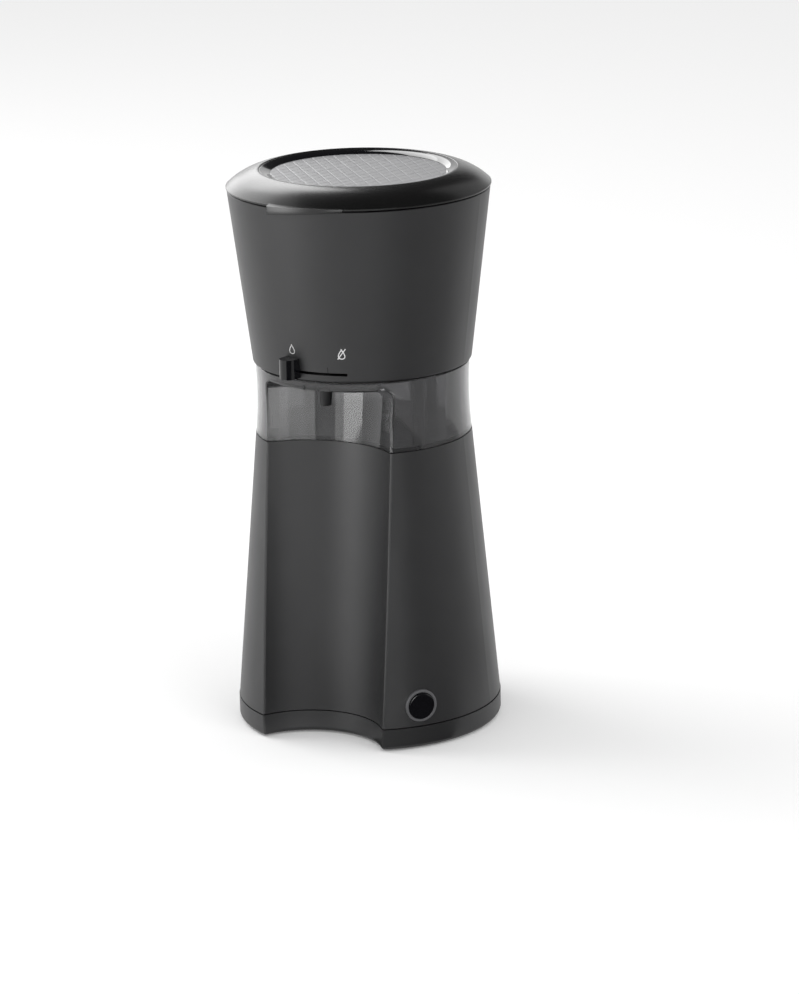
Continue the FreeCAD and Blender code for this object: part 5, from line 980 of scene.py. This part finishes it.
class COFFEE_OT_spout(bpy.types.Operator):
    """Turn the drip spout under the bay's ceiling"""

    bl_idname = "coffee.spout"
    bl_label = "Drip spout"
    bl_options = {"REGISTER", "UNDO"}

    def execute(self, context):
        low, top = SPOUT_LOW.z, SPOUT_HIGH.z
        flange_top = SPOUT_FLANGE_Z + SPOUT_FLANGE_T
        outline = [
            (SPOUT_BORE_R, low),
            (SPOUT_TIP_R, low),
            (SPOUT_R, SPOUT_ROOT_Z),
            (SPOUT_R, SPOUT_FLANGE_Z),
            (SPOUT_FLANGE_R, SPOUT_FLANGE_Z),
            (SPOUT_FLANGE_R, flange_top),
            (SPOUT_SEAT_R, flange_top),
            (SPOUT_SEAT_R, top),
            (SPOUT_MOUTH_R, top),
            (SPOUT_MOUTH_R, top - SPOUT_MOUTH_H),
            (SPOUT_BORE_R, SPOUT_FLANGE_Z - SPOUT_FUNNEL_H),
        ]
        spout = turned(outline, SMALL_STEPS, closed=True)
        soften(spout, SPOUT_ROUND * MM, 3)
        spout.location = (0.0, SPOUT_Y * MM, 0.0)
        finish_piece(spout, "drip_spout_tip", "machine", "black_inner", ["drip_spout"])
        return {"FINISHED"}


class COFFEE_OT_filter_mesh(bpy.types.Operator):
    """Weave the filter's conical side and floor as a net of threads"""

    bl_idname = "coffee.filter_mesh"
    bl_label = "Filter mesh"
    bl_options = {"REGISTER", "UNDO"}

    def execute(self, context):
        sizes = context.scene.coffee_sizes
        thread = sizes.mesh_thread / MM
        pitch = sizes.mesh_pitch / MM
        top_r = (MESH_HIGH.x - MESH_LOW.x) / 2 - thread / 2 - FILTER_GAP
        low_z, high_z = MESH_LOW.z + thread / 2 + FILTER_GAP, MESH_HIGH.z - thread / 2
        middle_z = (low_z + high_z) / 2
        bottom_r = top_r - (high_z - low_z) * FILTER_TAPER
        around = FILTER_SECTORS * round(2 * math.pi * top_r / pitch / FILTER_SECTORS)
        deselect()
        bpy.ops.mesh.primitive_cone_add(vertices=around, radius1=bottom_r * MM, radius2=top_r * MM,
                                        depth=(high_z - low_z) * MM, end_fill_type="NOTHING",
                                        location=(0.0, FILTER_Y * MM, middle_z * MM))
        side = bpy.context.object
        settle(side)
        edit(side, "EDGE")
        pick(side, "edges", lambda middle, edge: abs(middle.z - middle_z) < 1.0)
        bpy.ops.mesh.subdivide(number_cuts=round((high_z - low_z) / pitch) - 1)
        leave_edit()
        modify(side, "WIREFRAME", thickness=sizes.mesh_thread, use_even_offset=False, use_boundary=True)
        finish_piece(side, "filter_mesh_side", "machine", "nylon_mesh", ["filter_mesh"], 60.0)

        across = 2 * round(bottom_r / pitch)
        deselect()
        bpy.ops.mesh.primitive_grid_add(x_subdivisions=across, y_subdivisions=across, size=2 * bottom_r * MM,
                                        location=(0.0, FILTER_Y * MM, low_z * MM))
        floor = bpy.context.object
        settle(floor)
        edit(floor, "VERT")
        pick(floor, "verts", lambda place, vertex: math.hypot(place.x, place.y - FILTER_Y) > bottom_r)
        bpy.ops.mesh.delete(type="VERT")
        leave_edit()
        modify(floor, "WIREFRAME", thickness=sizes.mesh_thread, use_even_offset=False, use_boundary=True)
        finish_piece(floor, "filter_mesh_floor", "machine", "nylon_mesh", ["filter_mesh"], 60.0)
        return {"FINISHED"}


class COFFEE_OT_power_button(bpy.types.Operator):
    """Turn the power button's cap and the frosted ring round it"""

    bl_idname = "coffee.power_button"
    bl_label = "Power button"
    bl_options = {"REGISTER", "UNDO"}

    def execute(self, context):
        front = BUTTON_FACE_R + BUTTON_PROUD
        back = front - BUTTON_L
        inside = front - BUTTON_FACE_T
        outline = [(radius, front - depth) for radius, depth in BUTTON_DISH]
        outline += [
            (BUTTON_R - BUTTON_EDGE, front),
            (BUTTON_R - BUTTON_EDGE_EASE, front - BUTTON_EDGE_EASE),
            (BUTTON_R, front - BUTTON_EDGE),
            (BUTTON_R, back),
            (BUTTON_R - BUTTON_WALL, back),
            (BUTTON_R - BUTTON_WALL, inside),
            (BUTTON_STEM_R, inside),
            (BUTTON_STEM_R, back + BUTTON_STEM_SHORT),
            (BUTTON_STEM_BORE_R, back + BUTTON_STEM_SHORT),
            (BUTTON_STEM_BORE_R, back + BUTTON_STEM_BORE_L),
            (0.0, back + BUTTON_STEM_BORE_L),
        ]
        cap = turned(outline, SMALL_STEPS)
        face_outwards(cap, BUTTON_AZ, BUTTON_Z)
        finish_piece(cap, "power_button_cap", "power_button", "gloss_black", ["button_cap"])
        front = BUTTON_FACE_R + RING_PROUD
        back = front - RING_L
        outline = [(RING_INNER_R, back), (RING_OUTER_R, back), (RING_OUTER_R, front), (RING_INNER_R, front)]
        ring = turned(outline, SMALL_STEPS, closed=True)
        soften(ring, RING_ROUND * MM, 3)
        face_outwards(ring, BUTTON_AZ, BUTTON_Z)
        finish_piece(ring, "power_light_ring", "machine", "light_guide", ["light_ring"])
        return {"FINISHED"}


class COFFEE_OT_cable_entry(bpy.types.Operator):
    """Turn the cable entry bush at the rear"""

    bl_idname = "coffee.cable_entry"
    bl_label = "Cable entry"
    bl_options = {"REGISTER", "UNDO"}

    def execute(self, context):
        flange = GLAND_PAD_Y + GLAND_FLANGE_T
        lip = GLAND_BACK_Y + GLAND_LIP_L
        outline = [
            (GLAND_BORE_R, GLAND_BACK_Y),
            (GLAND_R + GLAND_LIP_W, GLAND_BACK_Y),
            (GLAND_R + GLAND_LIP_W, lip),
            (GLAND_R, lip),
            (GLAND_R, GLAND_PAD_Y),
            (GLAND_FLANGE_R, GLAND_PAD_Y),
            (GLAND_FLANGE_R, flange),
            (GLAND_BORE_R, flange),
        ]
        bush = turned(outline, SMALL_STEPS, closed=True)
        soften(bush, GLAND_ROUND * MM, 4)
        face_outwards(bush, 180.0, GLAND_Z)
        finish_piece(bush, "cable_entry_bush", "machine", "gloss_black", ["cord_gland"])
        return {"FINISHED"}


class COFFEE_OT_underside(bpy.types.Operator):
    """Model the feet and the base screws, each once, and copy them round"""

    bl_idname = "coffee.underside"
    bl_label = "Feet and base screws"
    bl_options = {"REGISTER", "UNDO"}

    def execute(self, context):
        foot = turned(FOOT_OUTLINE, FOOT_STEPS)
        self.spread(foot, FOOT_CIRCLE_R, FOOT_AZ, "foot", "rubber", "rubber_feet")
        screw = turned(SCREW_OUTLINE, COARSE_STEPS)
        for turn in (0.0, 90.0):
            slot = block(-DRIVE_HALF_L, DRIVE_HALF_L, -DRIVE_HALF_W, DRIVE_HALF_W, 0.0, DRIVE_TOP_Z)
            swing(slot, turn)
            combine(screw, slot, "DIFFERENCE")
        self.spread(screw, SCREW_CIRCLE_R, SCREW_AZ, "base_screw", "steel", "base_screws")
        return {"FINISHED"}

    def spread(self, first, radius, azimuths, name, slot, node):
        """Set a piece and its copies on a circle, numbered from 1."""
        pieces = [first] + [duplicate(first) for _ in azimuths[1:]]
        for index, (piece, azimuth) in enumerate(zip(pieces, azimuths)):
            piece.location = (0.0, -radius * MM, 0.0)
            settle(piece)
            swing(piece, azimuth)
            finish_piece(piece, name + "_" + str(index + 1), "machine", slot, [node])


class COFFEE_OT_stage(bpy.types.Operator):
    """Lay the pale floor, hang the soft lights and set the camera of the photograph"""

    bl_idname = "coffee.stage"
    bl_label = "Stage"
    bl_options = {"REGISTER", "UNDO"}

    def execute(self, context):
        self.floor()
        self.world(context.scene)
        self.lights()
        self.camera(context.scene)
        context.scene.view_settings.view_transform = "Standard"
        return {"FINISHED"}

    def floor(self):
        """White floor that keeps shadows, lifted a little where it is seen."""
        deselect()
        bpy.ops.mesh.primitive_plane_add(size=FLOOR_SIZE, location=(0.0, 0.0, 0.0))
        floor = bpy.context.object
        floor.name = "studio_floor"
        material, nodes, links, surface = new_material("Pale floor")
        preset(surface, Base_Color=(FLOOR_WHITE, FLOOR_WHITE, FLOOR_WHITE, 1.0), Roughness=0.9,
               Specular_IOR_Level=0.0, Emission_Color=(1.0, 1.0, 1.0, 1.0))
        lift = nodes.new("ShaderNodeMath")
        lift.operation = "MULTIPLY"
        lift.inputs[1].default_value = FLOOR_LIFT
        links.new(seen_rays(nodes, links), lift.inputs[0])
        links.new(lift.outputs["Value"], surface.inputs["Emission Strength"])
        floor.data.materials.append(material)

    def world(self, scene):
        """White background, and a softer white light on the object."""
        world = bpy.data.worlds.new("Studio")
        scene.world = world
        world.use_nodes = True
        nodes, links = world.node_tree.nodes, world.node_tree.links
        background = nodes["Background"]
        preset(background, Color=(1.0, 1.0, 1.0, 1.0))
        strength = nodes.new("ShaderNodeMath")
        strength.operation = "MULTIPLY_ADD"
        strength.inputs[1].default_value = 1.0 - AMBIENT
        strength.inputs[2].default_value = AMBIENT
        links.new(seen_rays(nodes, links), strength.inputs[0])
        links.new(strength.outputs["Value"], background.inputs["Strength"])

    def lights(self):
        """Soft lamps light the object; cards that only gloss sees shape its reflections, and one dark card
        paints the floor's shade in front of the bay into them.
        """
        for name, place, size, power in LAMPS:
            deselect()
            bpy.ops.object.light_add(type="AREA", location=beside(place))
            lamp = bpy.context.object
            lamp.name = name
            lamp.data.shape = "SQUARE"
            lamp.data.size = size
            lamp.data.energy = power
            aim = Vector((0.0, 0.0, AIM_HEIGHT)) - beside(place)
            lamp.rotation_euler = aim.to_track_quat("-Z", "Y").to_euler()
            lamp.visible_camera = False
            lamp.visible_glossy = False
        for name, place, size, strength in CARDS + TABLE_CARDS:
            deselect()
            bpy.ops.mesh.primitive_plane_add(size=1.0, location=beside(place))
            card = bpy.context.object
            card.name = name
            card.scale = (size[0], size[1], 1.0)
            aim = Vector((0.0, 0.0, AIM_HEIGHT)) - beside(place)
            card.rotation_euler = aim.to_track_quat("Z", "Y").to_euler()
            if place[2] < LYING_BELOW:
                card.rotation_euler = (0.0, 0.0, math.radians(CAMERA_AZIMUTH))
            settle(card)
            material, nodes, links, _ = new_material(name)
            glow = nodes.new("ShaderNodeEmission")
            preset(glow, Strength=strength)
            links.new(glow.outputs["Emission"], nodes["Material Output"].inputs["Surface"])
            card.data.materials.append(material)
            card.visible_camera = False
            card.visible_diffuse = False
            card.visible_transmission = False
            card.visible_shadow = False

    def camera(self, scene):
        """Camera at the place and angle of the photograph's."""
        data = bpy.data.cameras.new("Camera")
        camera = bpy.data.objects.new("Camera", data)
        scene.collection.objects.link(camera)
        scene.camera = camera
        data.sensor_width = SENSOR
        data.lens = FOCAL_PIXELS * SENSOR / FRAME_HEIGHT
        data.clip_start = 0.1
        data.clip_end = 50.0
        turn = Matrix.Rotation(math.radians(CAMERA_AZIMUTH), 3, "Z")
        forward = turn @ Vector((math.sin(CAMERA_YAW) * math.cos(CAMERA_PITCH),
                                 math.cos(CAMERA_YAW) * math.cos(CAMERA_PITCH), -math.sin(CAMERA_PITCH)))
        right = forward.cross(Vector((0.0, 0.0, 1.0))).normalized()
        up = right.cross(forward)
        c, s = math.cos(CAMERA_ROLL), math.sin(CAMERA_ROLL)
        basis = Matrix((c * right + s * up, c * up - s * right, -forward)).transposed()
        camera.matrix_world = Matrix.Translation(CAMERA_PLACE) @ basis.to_4x4()


def beside(place):
    """A place given from the camera's side, in the object's frame."""
    return Matrix.Rotation(math.radians(CAMERA_AZIMUTH), 3, "Z") @ Vector(place)


def seen_rays(nodes, links):
    """1 for rays that show the background: seen directly, in gloss or through clear plastic."""
    path = nodes.new("ShaderNodeLightPath")
    first = nodes.new("ShaderNodeMath")
    first.operation = "ADD"
    links.new(path.outputs["Is Camera Ray"], first.inputs[0])
    links.new(path.outputs["Is Glossy Ray"], first.inputs[1])
    second = nodes.new("ShaderNodeMath")
    second.operation = "ADD"
    second.use_clamp = True
    links.new(first.outputs["Value"], second.inputs[0])
    links.new(path.outputs["Is Transmission Ray"], second.inputs[1])
    return second.outputs["Value"]


PIECE_OPERATORS = (
    COFFEE_OT_finishes,
    COFFEE_OT_lid_dome,
    COFFEE_OT_lid_ring,
    COFFEE_OT_lid_disc,
    COFFEE_OT_knob,
    COFFEE_OT_icons,
    COFFEE_OT_spout,
    COFFEE_OT_filter_mesh,
    COFFEE_OT_power_button,
    COFFEE_OT_cable_entry,
    COFFEE_OT_underside,
    COFFEE_OT_stage,
)


class VIEW3D_PT_coffee_maker(bpy.types.Panel):
    """Lists the operators and their sizes and colours"""

    bl_label = "Iced Coffee Maker"
    bl_space_type = "VIEW_3D"
    bl_region_type = "UI"
    bl_category = "Coffee Maker"

    def draw(self, context):
        column = self.layout.column(align=True)
        for operator in PIECE_OPERATORS:
            column.operator(operator.bl_idname)
        for group in (context.scene.coffee_sizes, context.scene.coffee_colours):
            column.separator()
            for name in group.__annotations__:
                column.prop(group, name)


CLASSES = (CoffeeMakerSizes, CoffeeMakerColours, *PIECE_OPERATORS, VIEW3D_PT_coffee_maker)


def register():
    for cls in CLASSES:
        bpy.utils.register_class(cls)
    bpy.types.Scene.coffee_sizes = PointerProperty(type=CoffeeMakerSizes)
    bpy.types.Scene.coffee_colours = PointerProperty(type=CoffeeMakerColours)


def unregister():
    del bpy.types.Scene.coffee_colours
    del bpy.types.Scene.coffee_sizes
    for cls in reversed(CLASSES):
        bpy.utils.unregister_class(cls)


def main():
    register()
    for operator in PIECE_OPERATORS:
        category, name = operator.bl_idname.split(".")
        getattr(getattr(bpy.ops, category), name)()


if __name__ == "__main__":
    main()
